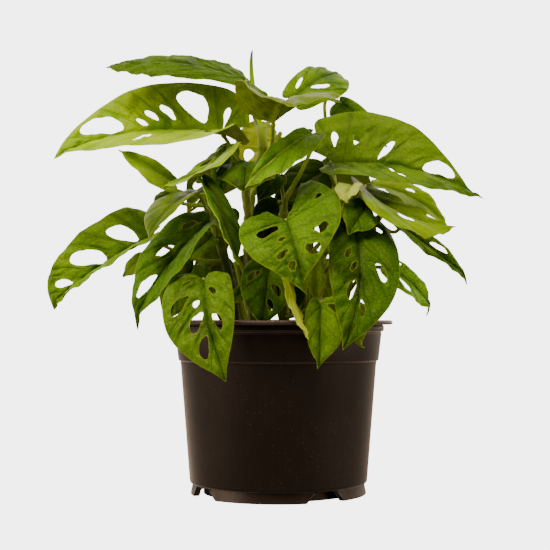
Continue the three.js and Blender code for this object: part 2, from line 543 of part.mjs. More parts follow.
// Upper-side triangles of a blade, as shared vertices and vertex triples.
function bladeSheet(leaf) {
  const place = bladeMap(leaf);
  const length = vector(leaf.tip).distanceTo(vector(leaf.base));
  const columns = Math.max(...leaf.half) > BLADE.wideHalf ? 3 : 2;
  const places = Array.isArray(leaf.veins) ? leaf.veins : evenly(leaf.veins);
  const vertices = [];
  const known = new Map();
  const triangles = [];

  for (const side of [0, 1]) {
    const [veins, others] = Array.isArray(places[0])
      ? [places[side], places[1 - side]]
      : [places, places];
    const { lobe = [3, 3], sinus = [0.15, 0.15], wide = 0.33, blunt = [0, 0] } = leaf;
    const margin = marginList(
      length, leaf.half[side], lobe[side], sinus[side], pair(wide)[side], blunt[side]);
    const vertex = (a, s) => {
      const [edgeU, edgeV] = alongList(margin, s);
      const root = veinRoot(s) * length;
      const point = place(root + (edgeU - root) * a ** 1.25, edgeV * a, side);
      const key = point.toArray().map((value) => Math.round(value * 500)).join();
      if (!known.has(key)) {
        known.set(key, vertices.length);
        vertices.push(point);
      }
      return known.get(key);
    };
    const add = (a, b, c) => {
      if (a === b || b === c || c === a) return;
      triangles.push(side === 0 ? [a, b, c] : [a, c, b]);
    };
    const holes = leaf.holes?.[side === 0 ? "left" : "right"] ?? [];
    for (let gap = 0; gap < veins.length - 1; gap++) {
      const [s0, s1] = [veins[gap], veins[gap + 1]];
      const middle = (s0 + s1) / 2;
      const border = [];
      for (let k = 0; k <= columns; k++) border.push([k / columns, s0]);
      border.push([1, middle]);
      for (let k = columns; k >= 0; k--) border.push([k / columns, s1]);
      // the other half's veins meet the midrib here as well
      const shared = others.filter((s) => s > s0 && s < s1).map((s) => [0, s]);
      border.push(...shared.toReversed());
      const hole = holes.find(([index]) => index === gap);
      if (!hole) {
        const rib = [[0, s0], ...shared, [0, s1]].map(([a, s]) => vertex(a, s));
        const [start, end] = [s0, s1].map((s) => vertex(1 / columns, s));
        for (let k = 0; k < rib.length - 1; k++) add(rib[k], rib[k + 1], start);
        add(rib.at(-1), end, start);
        for (let k = 1; k < columns - 1; k++) {
          const [near, far] = [k / columns, (k + 1) / columns];
          add(vertex(near, s0), vertex(near, s1), vertex(far, s1));
          add(vertex(near, s0), vertex(far, s1), vertex(far, s0));
        }
        const inner = (columns - 1) / columns;
        const centre = vertex(1, middle);
        add(vertex(inner, s0), vertex(inner, s1), centre);
        add(vertex(inner, s1), vertex(1, s1), centre);
        add(vertex(1, s0), vertex(inner, s0), centre);
        continue;
      }
      // a ring of triangles from the cell's border to an oval hole
      const [, inner, outer, width] = hole;
      const centre = (inner + outer) / 2;
      const ring = border.map(([a, s]) => {
        const across = (s - middle) / (s1 - s0) / width;
        const along = (a - centre) / (outer - inner);
        const size = Math.hypot(across, along) * 2;
        return [centre + (a - centre) / size, middle + (s - middle) / size];
      });
      const outerRing = border.map(([a, s]) => vertex(a, s));
      const innerRing = ring.map(([a, s]) => vertex(a, s));
      for (let k = 0; k < border.length; k++) {
        const next = (k + 1) % border.length;
        add(outerRing[k], innerRing[k], innerRing[next]);
        add(outerRing[k], innerRing[next], outerRing[next]);
      }
    }
  }
  return { vertices, triangles };
}

// Gives a sheet its thickness: both faces have the same triangles, and every free edge
// gets a wall.
function thickened({ vertices, triangles }, thickness) {
  const normals = vertices.map(() => new THREE.Vector3());
  const edges = new Map();
  for (const [a, b, c] of triangles) {
    const normal = vertices[b].clone().sub(vertices[a]).cross(vertices[c].clone().sub(vertices[a]));
    for (const k of [a, b, c]) normals[k].add(normal);
    for (const [from, to] of [[a, b], [b, c], [c, a]]) edges.set(`${from},${to}`, [from, to]);
  }
  const count = vertices.length;
  const positions = [];
  for (const sign of [1, -1]) {
    vertices.forEach((point, k) => {
      const shifted = point.clone().addScaledVector(normals[k].clone().normalize(), (sign * thickness) / 2);
      positions.push(...shifted.toArray());
    });
  }
  const index = [];
  for (const [a, b, c] of triangles) index.push(a, b, c, a + count, c + count, b + count);
  for (const [from, to] of edges.values()) {
    if (!edges.has(`${to},${from}`)) index.push(to, from, from + count, to, from + count, to + count);
  }
  const geometry = new THREE.BufferGeometry();
  geometry.setAttribute("position", new THREE.Float32BufferAttribute(positions, 3));
  geometry.setIndex(index);
  return geometry;
}

function newLeafGeometry() {
  const base = vector(NEW_LEAF.base);
  const axis = vector(NEW_LEAF.tip).sub(base);
  const height = axis.length();
  const { radius } = NEW_LEAF;
  const roll = turned([[0, 0], [radius * 0.8, 0], [radius, height * 0.2], [radius * 0.75, height * 0.55],
    [radius * 0.35, height * 0.85], [0, height]], NEW_LEAF.sides);
  const upright = new THREE.Vector3(0, 0, 1);
  roll.applyQuaternion(new THREE.Quaternion().setFromUnitVectors(upright, axis.normalize()));
  roll.translate(...NEW_LEAF.base);
  return roll;
}

// ---------------------------------------------------------------- stems and stalks

// The buried end of a stem is straight and upright, to a little above the soil.
function stemCurve([[x, y], ...points]) {
  const foot = [SOIL.top - STEM.buried, SOIL.top - STEM.buried / 2, SOIL.top + 4].map((z) => [x, y, z]);
  return new THREE.CatmullRomCurve3([...foot, ...points].map(vector), false, "centripetal");
}

// A stalk leaves its stem upwards, bows out and comes up to the blade from its underside.
function stalkCurve(leaf, stem) {
  const start = stem.getPoint(leaf.from);
  const base = vector(leaf.base);
  const axis = vector(leaf.tip).sub(base).normalize();
  const face = vector(leaf.face);
  face.addScaledVector(axis, -face.dot(axis)).normalize();
  const reach = start.distanceTo(base);
  const approach = base.clone().addScaledVector(face, -0.16 * reach - 2);
  approach.addScaledVector(axis, -0.1 * reach);
  base.addScaledVector(face, -BLADE.thickness / 2 - BLADE.stalkGap);
  const middle = start.clone().lerp(approach, 0.5);
  middle.z -= 0.06 * reach;
  const points = [start, middle.add(vector(leaf.via ?? [0, 0, 0])), approach, base];
  return new THREE.CatmullRomCurve3(points, false, "centripetal");
}

function stemSolid(name, curve, sheets) {
  let solid = toSolid(rod(curve, STEM.radius, STEM.sides, STEM.stepLength));
  for (const [leafName, leaf] of Object.entries(LEAVES)) {
    if (leaf.stem !== name) continue;
    let stalk = toSolid(rod(stalkCurve(leaf, curve), STALK.radius, STALK.sides, STALK.stepLength));
    const seat = thickened(sheets[leafName], BLADE.thickness + 2 * BLADE.seatGap);
    stalk = stalk.subtract(toSolid(seat));
    solid = largest(solid.add(largest(stalk)));
  }
  return solid;
}

// ---------------------------------------------------------------- assembly

const plant = new THREE.Group();
const mapValues = (table, make) => (
  Object.fromEntries(Object.entries(table).map(([name, value]) => [name, make(value)]))
);
const stemCurves = mapValues(STEMS, stemCurve);
const sheets = mapValues(LEAVES, bladeSheet);

plant.add(piece("pot", toGeometry(potSolid()), "pot"));
plant.add(piece("soil", toGeometry(soilSolid(Object.values(stemCurves))), "soil"));
for (const [name, curve] of Object.entries(stemCurves)) {
  plant.add(piece(name, toGeometry(stemSolid(name, curve, sheets)), "stem"));
}
plant.add(piece("new_leaf", newLeafGeometry(), "leaf"));
for (const [name, sheet] of Object.entries(sheets)) {
  plant.add(piece(name, thickened(sheet, BLADE.thickness), "leaf"));
}

// The origin is the middle of the whole plant's outline, on the ground.
const box = new THREE.Box3().setFromObject(plant, true);
const middle = box.getCenter(new THREE.Vector3());
plant.position.set(-middle.x, -middle.y, -box.min.z);

export default plant;
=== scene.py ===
"""Monstera adansonii in a black nursery pot: leaves, stems, soil and pot as fine, dressed pieces.

The leaf, stem and stalk figures are the part's own, in millimetres round the pot's axis. Every piece
takes the place of its CAD node and rides on the one body, "root".
"""
from __future__ import annotations

import logging
import math
from dataclasses import dataclass, field
from enum import Enum
from typing import Iterator, Optional, Sequence, Union

import bpy
import numpy as np
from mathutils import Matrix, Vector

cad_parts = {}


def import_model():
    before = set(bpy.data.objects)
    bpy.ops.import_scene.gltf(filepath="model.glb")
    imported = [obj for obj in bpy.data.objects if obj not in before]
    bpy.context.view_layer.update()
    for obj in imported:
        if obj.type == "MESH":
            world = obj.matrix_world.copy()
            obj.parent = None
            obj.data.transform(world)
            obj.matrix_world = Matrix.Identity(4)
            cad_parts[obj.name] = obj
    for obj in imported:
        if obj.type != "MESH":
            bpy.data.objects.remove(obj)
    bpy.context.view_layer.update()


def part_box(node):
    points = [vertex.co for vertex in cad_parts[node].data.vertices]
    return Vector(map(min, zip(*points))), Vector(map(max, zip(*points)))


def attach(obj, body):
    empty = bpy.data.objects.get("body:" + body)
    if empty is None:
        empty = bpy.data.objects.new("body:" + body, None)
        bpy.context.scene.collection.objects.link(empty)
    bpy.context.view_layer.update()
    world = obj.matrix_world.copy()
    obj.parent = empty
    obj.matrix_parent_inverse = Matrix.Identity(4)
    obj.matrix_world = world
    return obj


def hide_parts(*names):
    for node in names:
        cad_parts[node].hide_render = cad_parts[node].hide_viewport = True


LOG = logging.getLogger("monstera")
MM = 0.001
WELD = 1e-4  # mm below which two points of a mesh are the same
Array = np.ndarray
Numbers = Sequence[float]
Halves = Union[float, Sequence]  # one value for both halves of a leaf, or one for each
Socket = bpy.types.NodeSocket


# ------------------------------------------------------------------ small maths


def unit(vectors: Array) -> Array:
    """Vectors scaled to length one along the last axis."""
    vectors = np.asarray(vectors, float)
    return vectors / np.maximum(np.linalg.norm(vectors, axis=-1, keepdims=True), 1e-12)


def linear(rgb: Numbers) -> tuple[float, float, float, float]:
    """A colour in linear light: each channel is raised to about 2.4 above a short toe.

    Args:
        rgb: the 8-bit sRGB colour.

    Returns:
        the linear RGBA colour.
    """
    c = np.asarray(rgb, float) / 255
    out = np.where(c <= 0.04045, c / 12.92, ((c + 0.055) / 1.055) ** 2.4)
    return (float(out[0]), float(out[1]), float(out[2]), 1.0)


def waves(points: Array, length: float, seed: int) -> Array:
    """Smooth noise: the mean of a few sines in random directions.

    Args:
        points: places, any shape with 2 or 3 in the last axis.
        length: the wavelength in the points' unit.
        seed: fixes the directions and phases.

    Returns:
        a value of about -1 to 1 for each place.
    """
    count, peak = 9, 1.2
    rng = np.random.default_rng(seed)
    directions = unit(rng.normal(size=(count, points.shape[-1])))
    turns = rng.uniform(0.7, 1.4, count) / length
    phases = rng.uniform(0, math.tau, count)
    angle = points @ (directions * turns[:, None]).T * 2 * math.pi + phases
    return np.sin(angle).sum(-1) / math.sqrt(count) / peak


def centripetal(points: Sequence[Numbers], places: Array) -> Array:
    """Centripetal Catmull-Rom curve through points, even in the point index.

    Each stretch is a Hermite cubic whose end slopes come from the square roots of the chord lengths.

    Args:
        points: the points that the curve passes through.
        places: where the curve is taken, 0..1.

    Returns:
        the curve's point at each place.
    """
    p = np.asarray(points, float)
    p = np.vstack([2 * p[0] - p[1], p, 2 * p[-1] - p[-2]])
    last = len(p) - 4
    at = np.clip(places, 0, 1) * (last + 1)
    i = np.minimum(at.astype(int), last)
    w = (at - i)[:, None]
    x0, x1, x2, x3 = p[i], p[i + 1], p[i + 2], p[i + 3]
    chords = ((x0, x1), (x1, x2), (x2, x3))
    d0, d1, d2 = (np.sqrt(np.linalg.norm(b - a, axis=1))[:, None] for a, b in chords)
    t1 = ((x1 - x0) / d0 - (x2 - x0) / (d0 + d1) + (x2 - x1) / d1) * d1
    t2 = ((x2 - x1) / d1 - (x3 - x1) / (d1 + d2) + (x3 - x2) / d2) * d1
    return x1 + t1 * w + (3 * (x2 - x1) - 2 * t1 - t2) * w**2 + (2 * (x1 - x2) + t1 + t2) * w**3


def catmull(points: Array, s: Array) -> Array:
    """Plain Catmull-Rom curve: a cubic between each two points, with slopes from their neighbours.

    Args:
        points: the points that the curve passes through.
        s: where the curve is taken, 0..1, even in the point index.

    Returns:
        the curve's point at each place.
    """
    place = np.clip(s, 0, 0.999999) * (len(points) - 1)
    i = np.floor(place).astype(int)
    t = (place - i)[..., None]
    a, b, c, d = (points[np.clip(i + k, 0, len(points) - 1)] for k in (-1, 0, 1, 2))
    square, cube = 2 * a - 5 * b + 4 * c - d, 3 * b - a - 3 * c + d
    return 0.5 * (2 * b + (c - a) * t + square * t**2 + cube * t**3)


def falloff(distance: Array, width: float) -> Array:
    """A bell of height one at zero distance: exp(-(distance / width) squared)."""
    return np.exp(-((distance / width) ** 2))


def fade(distance: Array, width: float) -> Array:
    """Rises evenly from 0 at zero distance to 1 at the width, and stays there."""
    return np.clip(distance / width, 0, 1)


def pair(value: Halves) -> Sequence:
    """A single number as a pair of the same number; a tuple stays as it is."""
    return value if isinstance(value, tuple) else (value, value)


def per_row(values: Array, count: int) -> Array:
    """A value for each row of a grid, repeated in each of its columns."""
    return np.repeat(np.asarray(values, float)[:, None], count, 1)


# ------------------------------------------------------------------ meshes


@dataclass
class Shell:
    """Collects grids and loose triangles, welds them and puts them into one Blender mesh, in mm."""

    points: list[Array] = field(default_factory=list)
    faces: list[Array] = field(default_factory=list)
    marks: dict[str, list[Array]] = field(default_factory=dict)
    count: int = 0

    def add(self, points: Array, faces: Array, **marks: Array) -> None:
        """Adds vertices and triangles.

        Args:
            points: vertices, 3 numbers each.
            faces: triangles, as indices into the points.
            **marks: one value for each vertex of every mark; all parts of a shell have the same marks.
        """
        self.points.append(points.reshape(-1, 3))
        self.faces.append(faces.reshape(-1, 3) + self.count)
        for name, values in marks.items():
            self.marks.setdefault(name, []).append(np.asarray(values, float).reshape(-1))
        self.count += self.points[-1].shape[0]

    def add_grid(self, points: Array, wrap: tuple[bool, bool], **marks: Array) -> None:
        """Adds a grid, whose faces look along the cross product of its first and second way.

        Args:
            points: the grid, (n, m, 3).
            wrap: whether the first and the second way close on themselves.
            **marks: arrays of the grid's shape.
        """
        self.add(points, grid_faces(points.shape[0], points.shape[1], wrap), **marks)

    def build(self, name: str, sharp: float = 40.0) -> bpy.types.Object:
        """Welds equal points and drops faces without area.

        Args:
            name: the piece's name.
            sharp: edges over this angle in degrees aren't smoothed.

        Returns:
            the piece, in metres.
        """
        points, faces = np.vstack(self.points), np.vstack(self.faces)
        keys = np.round(points / WELD).astype(np.int64)
        _, first, same = np.unique(keys, axis=0, return_index=True, return_inverse=True)
        marks = {key: np.concatenate(values)[first] for key, values in self.marks.items()}
        return make_object(name, points[first], with_area(same.reshape(-1)[faces]), marks, sharp)


def grid_faces(rows: int, columns: int, wrap: tuple[bool, bool] = (False, False)) -> Array:
    """Two triangles for each cell of a grid, whose vertices are row * columns + column.

    Args:
        rows: points along the first way.
        columns: points along the second way.
        wrap: whether the first and the second way close on themselves.

    Returns:
        the triangles.
    """
    i = np.arange(rows if wrap[0] else rows - 1)[:, None]
    j = np.arange(columns if wrap[1] else columns - 1)[None, :]
    i1, j1 = (i + 1) % rows, (j + 1) % columns
    a, b, c, d = (x * columns + y for x, y in ((i, j), (i1, j), (i1, j1), (i, j1)))
    return np.stack([np.stack([a, b, c], -1), np.stack([a, c, d], -1)], -2).reshape(-1, 3)


def with_area(faces: Array) -> Array:
    """The triangles that have three different corners."""
    a, b, c = faces.T
    return faces[(a != b) & (b != c) & (c != a)]


def make_object(
    name: str, points: Array, faces: Array, marks: dict[str, Array], sharp: float
) -> bpy.types.Object:
    """A smooth-shaded mesh object at the origin.

    Args:
        name: the piece's name.
        points: vertices in millimetres.
        faces: triangles that look outwards.
        marks: values for each vertex; "u" and "v" together become the UV map, in decimetres.
        sharp: edges over this angle in degrees stay crisp.

    Returns:
        the object, in metres.
    """
    mesh = bpy.data.meshes.new(name)
    mesh.vertices.add(len(points))
    mesh.vertices.foreach_set("co", (points * MM).astype(np.float32).ravel())
    mesh.loops.add(faces.size)
    mesh.loops.foreach_set("vertex_index", faces.astype(np.int32).ravel())
    mesh.polygons.add(len(faces))
    mesh.polygons.foreach_set("loop_start", np.arange(0, faces.size, 3, dtype=np.int32))
    mesh.polygons.foreach_set("use_smooth", np.ones(len(faces), bool))
    mesh.update(calc_edges=True)
    mesh.validate()
    if "u" in marks:
        flat = np.stack([marks["u"], marks["v"]], -1)[faces.ravel()] / 100
        mesh.uv_layers.new(name="flat").data.foreach_set("uv", flat.astype(np.float32).ravel())
    for key, values in marks.items():
        if key not in ("u", "v"):
            layer = mesh.attributes.new(key, "FLOAT", "POINT")
            layer.data.foreach_set("value", values.astype(np.float32))
    mesh.set_sharp_from_angle(angle=math.radians(sharp))
    piece = bpy.data.objects.new(name, mesh)
    bpy.context.scene.collection.objects.link(piece)
    return piece


def vertex_normals(points: Array, faces: Array) -> Array:
    """The mean of the normals that meet at each vertex, weighted by the area of their triangles.

    Args:
        points: vertices, (n, 3).
        faces: triangles.

    Returns:
        a unit normal for each vertex.
    """
    a, b, c = (points[faces[:, k]] for k in range(3))
    normal = np.cross(b - a, c - a)
    total = np.zeros_like(points)
    for k in range(3):
        np.add.at(total, faces[:, k], normal)
    return unit(total)


def tube(shell: Shell, path: Array, radius: Array, sides: int, **marks: Array) -> None:
    """Adds a closed rod: circles of the given radii across a path, with round ends.

    The circles stand on two directions across the path, both taken from the normal of the plane that
    fits the path best, so that they don't turn about it.

    Args:
        shell: what the rod is added to.
        path: centre points (n, 3).
        radius: a radius for each point.
        sides: points round the rod.
        **marks: a value for each point of the path.
    """
    along = unit(np.gradient(path, axis=0))
    normal = np.linalg.svd(path - path.mean(0), full_matrices=True)[2][2]
    across = unit(np.cross(normal, along))
    upward = np.cross(along, across)
    # a quarter circle of rings, a little flattened, closes each end
    quarter, flat = np.linspace(0, math.pi / 2, 4)[:-1], 0.6
    first = path[0] - along[0] * radius[0] * np.cos(quarter)[:, None] * flat
    last = path[-1] + along[-1] * radius[-1] * np.cos(quarter[::-1])[:, None] * flat
    centres = np.vstack([first, path, last])
    size = np.concatenate([radius[0] * np.sin(quarter), radius, radius[-1] * np.sin(quarter[::-1])])
    pad = len(quarter)
    across, upward = (np.vstack([x[:1]] * pad + [x] + [x[-1:]] * pad) for x in (across, upward))
    turn = np.linspace(0, math.tau, sides, endpoint=False)
    ring = across[:, None] * np.cos(turn)[None, :, None] + upward[:, None] * np.sin(turn)[None, :, None]
    grid = centres[:, None] + ring * size[:, None, None]
    values = {key: per_row(np.pad(value, pad, mode="edge"), sides) for key, value in marks.items()}
    length = np.concatenate([[0], np.cumsum(np.linalg.norm(np.diff(centres, axis=0), axis=1))])
    values["u"] = per_row(length, sides)
    values["v"] = np.repeat((turn * radius.mean())[None], len(centres), 0)
    shell.add_grid(grid[:, ::-1], (False, True), **{k: v[:, ::-1] for k, v in values.items()})


def rounded(profile: Array, steps: int) -> Array:
    """A profile with each corner replaced by a short quadratic curve.

    Args:
        profile: corners as radius, z and the length that the curve takes from both sides.
        steps: points in each curve.

    Returns:
        the radius and z of the profile's points.
    """
    corner, cut = profile[:, :2], profile[:, 2:]
    before, after = np.vstack([corner[:1], corner[:-1]]), np.vstack([corner[1:], corner[-1:]])
    t = np.linspace(0, 1, steps)[None, :, None]
    start = corner + unit(before - corner) * cut
    end = corner + unit(after - corner) * cut
    curve = (1 - t) ** 2 * start[:, None] + 2 * t * (1 - t) * corner[:, None] + t**2 * end[:, None]
    return curve.reshape(-1, 2)


def circle(sides: int) -> Array:
    """Points of a unit circle in the ground's plane, (sides, 3), at even angles from +X."""
    turn = np.linspace(0, math.tau, sides, endpoint=False)
    return np.stack([np.cos(turn), np.sin(turn), np.zeros(sides)], -1)


def lathe(shell: Shell, profile: Array, sides: int, ripple: float = 0.0, **marks: Array) -> None:
    """Adds a surface of revolution: x and y are radius times cosine and sine of an even angle.

    Args:
        shell: what the surface is added to.
        profile: (n, 2) of radius and z, with the outside on its right going up.
        sides: points round the axis.
        ripple: size in mm of a slow unevenness of the wall.
        **marks: a value for each profile point.
    """
    ring = circle(sides)
    grid = profile[:, None, :1] * ring + np.array([0, 0, 1]) * profile[:, None, 1:]
    if ripple:
        grid += ring * (ripple * waves(grid, 60.0, 3))[..., None] * (profile[:, :1, None] > 20)
    values = {key: per_row(value, sides) for key, value in marks.items()}
    values["u"] = np.repeat((np.linspace(0, math.tau, sides, endpoint=False) * 60)[None], len(profile), 0)
    values["v"] = per_row(profile[:, 1], sides)
    shell.add_grid(np.swapaxes(grid, 0, 1), (True, False), **{k: v.T for k, v in values.items()})


# ------------------------------------------------------------------ finishes


@dataclass(frozen=True)
class LeafFinish:
    """Colours of a leaf as 8-bit sRGB, and how its skin behaves."""

    bright: Numbers  # between the side veins
    deep: Numbers  # along the side veins
    line: Numbers  # midrib and side veins
    under: Numbers  # the underside
    rim: Numbers = (148, 160, 40)  # thin line round the margin
    rough: float = 0.4
    net: float = 0.5  # how strongly the fine veins show
    mottle: float = 0.62  # how uneven the green is
    sheen: Numbers = (1.0, 0.96, 0.3, 1.0)  # tint of the gloss


class Look(Enum):
    """The ages and lights of green on the plant."""

    YOUNG = LeafFinish((158, 192, 0), (88, 134, 0), (76, 116, 0), (160, 166, 80), net=0.4)
    FRESH = LeafFinish((118, 160, 0), (54, 94, 0), (44, 80, 0), (124, 142, 50))
    MID = LeafFinish((98, 142, 0), (34, 70, 0), (26, 56, 0), (108, 130, 40), net=0.6)
    DARK = LeafFinish((76, 118, 0), (26, 56, 0), (18, 44, 0), (92, 114, 36), net=0.6)
    SHINY = LeafFinish((98, 138, 4), (44, 80, 0), (36, 66, 0), (116, 136, 50), net=0.55, rough=0.3)
    CROWN = LeafFinish((92, 132, 0), (42, 78, 0), (158, 180, 70), (110, 130, 40), net=0.6)
    CREST = LeafFinish((100, 126, 10), (72, 98, 4), (128, 148, 40), (112, 128, 20))
    LIME = LeafFinish((148, 186, 0), (98, 138, 0), (152, 174, 36), (140, 156, 60), net=0.35)
    OLIVE = LeafFinish((108, 138, 6), (60, 90, 0), (132, 152, 50), (118, 136, 50), rough=0.36)
    SILVER = LeafFinish((146, 160, 64), (112, 132, 34), (150, 162, 74), (146, 160, 40), net=0.3)
    SHADE = LeafFinish((46, 82, 0), (19, 42, 0), (80, 108, 14), (70, 94, 10), net=0.4)


# ------------------------------------------------------------------ the leaves


@dataclass(frozen=True)
class Leaf:
    """One leaf, in mm round the pot's axis.

    A field of kind Halves is one value for both halves, or a left and a right one, with the tip ahead.

    Fields:
        stem, start: the stem that carries it, and where its stalk leaves the stem, 0..1.
        base, tip, face: stalk end, drip tip, and the way the upper side looks.
        half: width of a half.
        arch, sway: bow of the midrib towards the face and to the left.
        fold: degrees a half rises at the midrib, or (base, tip) or (base, tip, quickness).
        curl: degrees more that a half has turned at its margin.
        lobe, sinus: how far a half reaches back, and how far from the midrib it starts there.
        wide, blunt: where a half is widest, and how full it stays towards the tip.
        droop: degrees that a lobe bends down behind the stalk.
        veins: number of gaps between side veins, or their places, or places for each half.
        holes_left, holes_right: (vein gap, inner end, outer end, width).
        via: shift of the stalk's middle.
        quilt: height of the bulges between the veins.
        wave: height and number of the waves along the margin.
        hook: shift of the drip tip.
        stalk: thickness of the stalk, 1 for the usual.
        tone: gain of the finish's colours, which paints light and shade for how the leaf is lit as well as
            its own green.
        look: the finish.
    """

    stem: str
    start: float
    base: Numbers
    tip: Numbers
    face: Numbers
    half: Halves
    arch: float = 0
    sway: float = 0
    fold: Halves = 0
    curl: Halves = 0
    lobe: Halves = 3
    sinus: Halves = 0.15
    wide: Halves = 0.33
    blunt: Halves = 0
    droop: Halves = 0
    veins: Union[int, Sequence] = 5
    holes_left: Sequence[Numbers] = ()
    holes_right: Sequence[Numbers] = ()
    via: Numbers = (0, 0, 0)
    quilt: float = 0.5
    wave: Numbers = (0.35, 3)
    hook: Numbers = (0, 0, 0)
    stalk: float = 1.0
    tone: Halves = 1.0
    look: Look = Look.MID

    def frame(self) -> tuple[Array, Array, Array, Array]:
        """The flat blade's place in space.

        Returns:
            its base, tip, axis and face; the axis and the face are unit vectors, square to each other.
        """
        base, tip = np.asarray(self.base, float), np.asarray(self.tip, float)
        axis = unit(tip - base)
        face = np.asarray(self.face, float)
        return base, tip, axis, unit(face - face @ axis * axis)
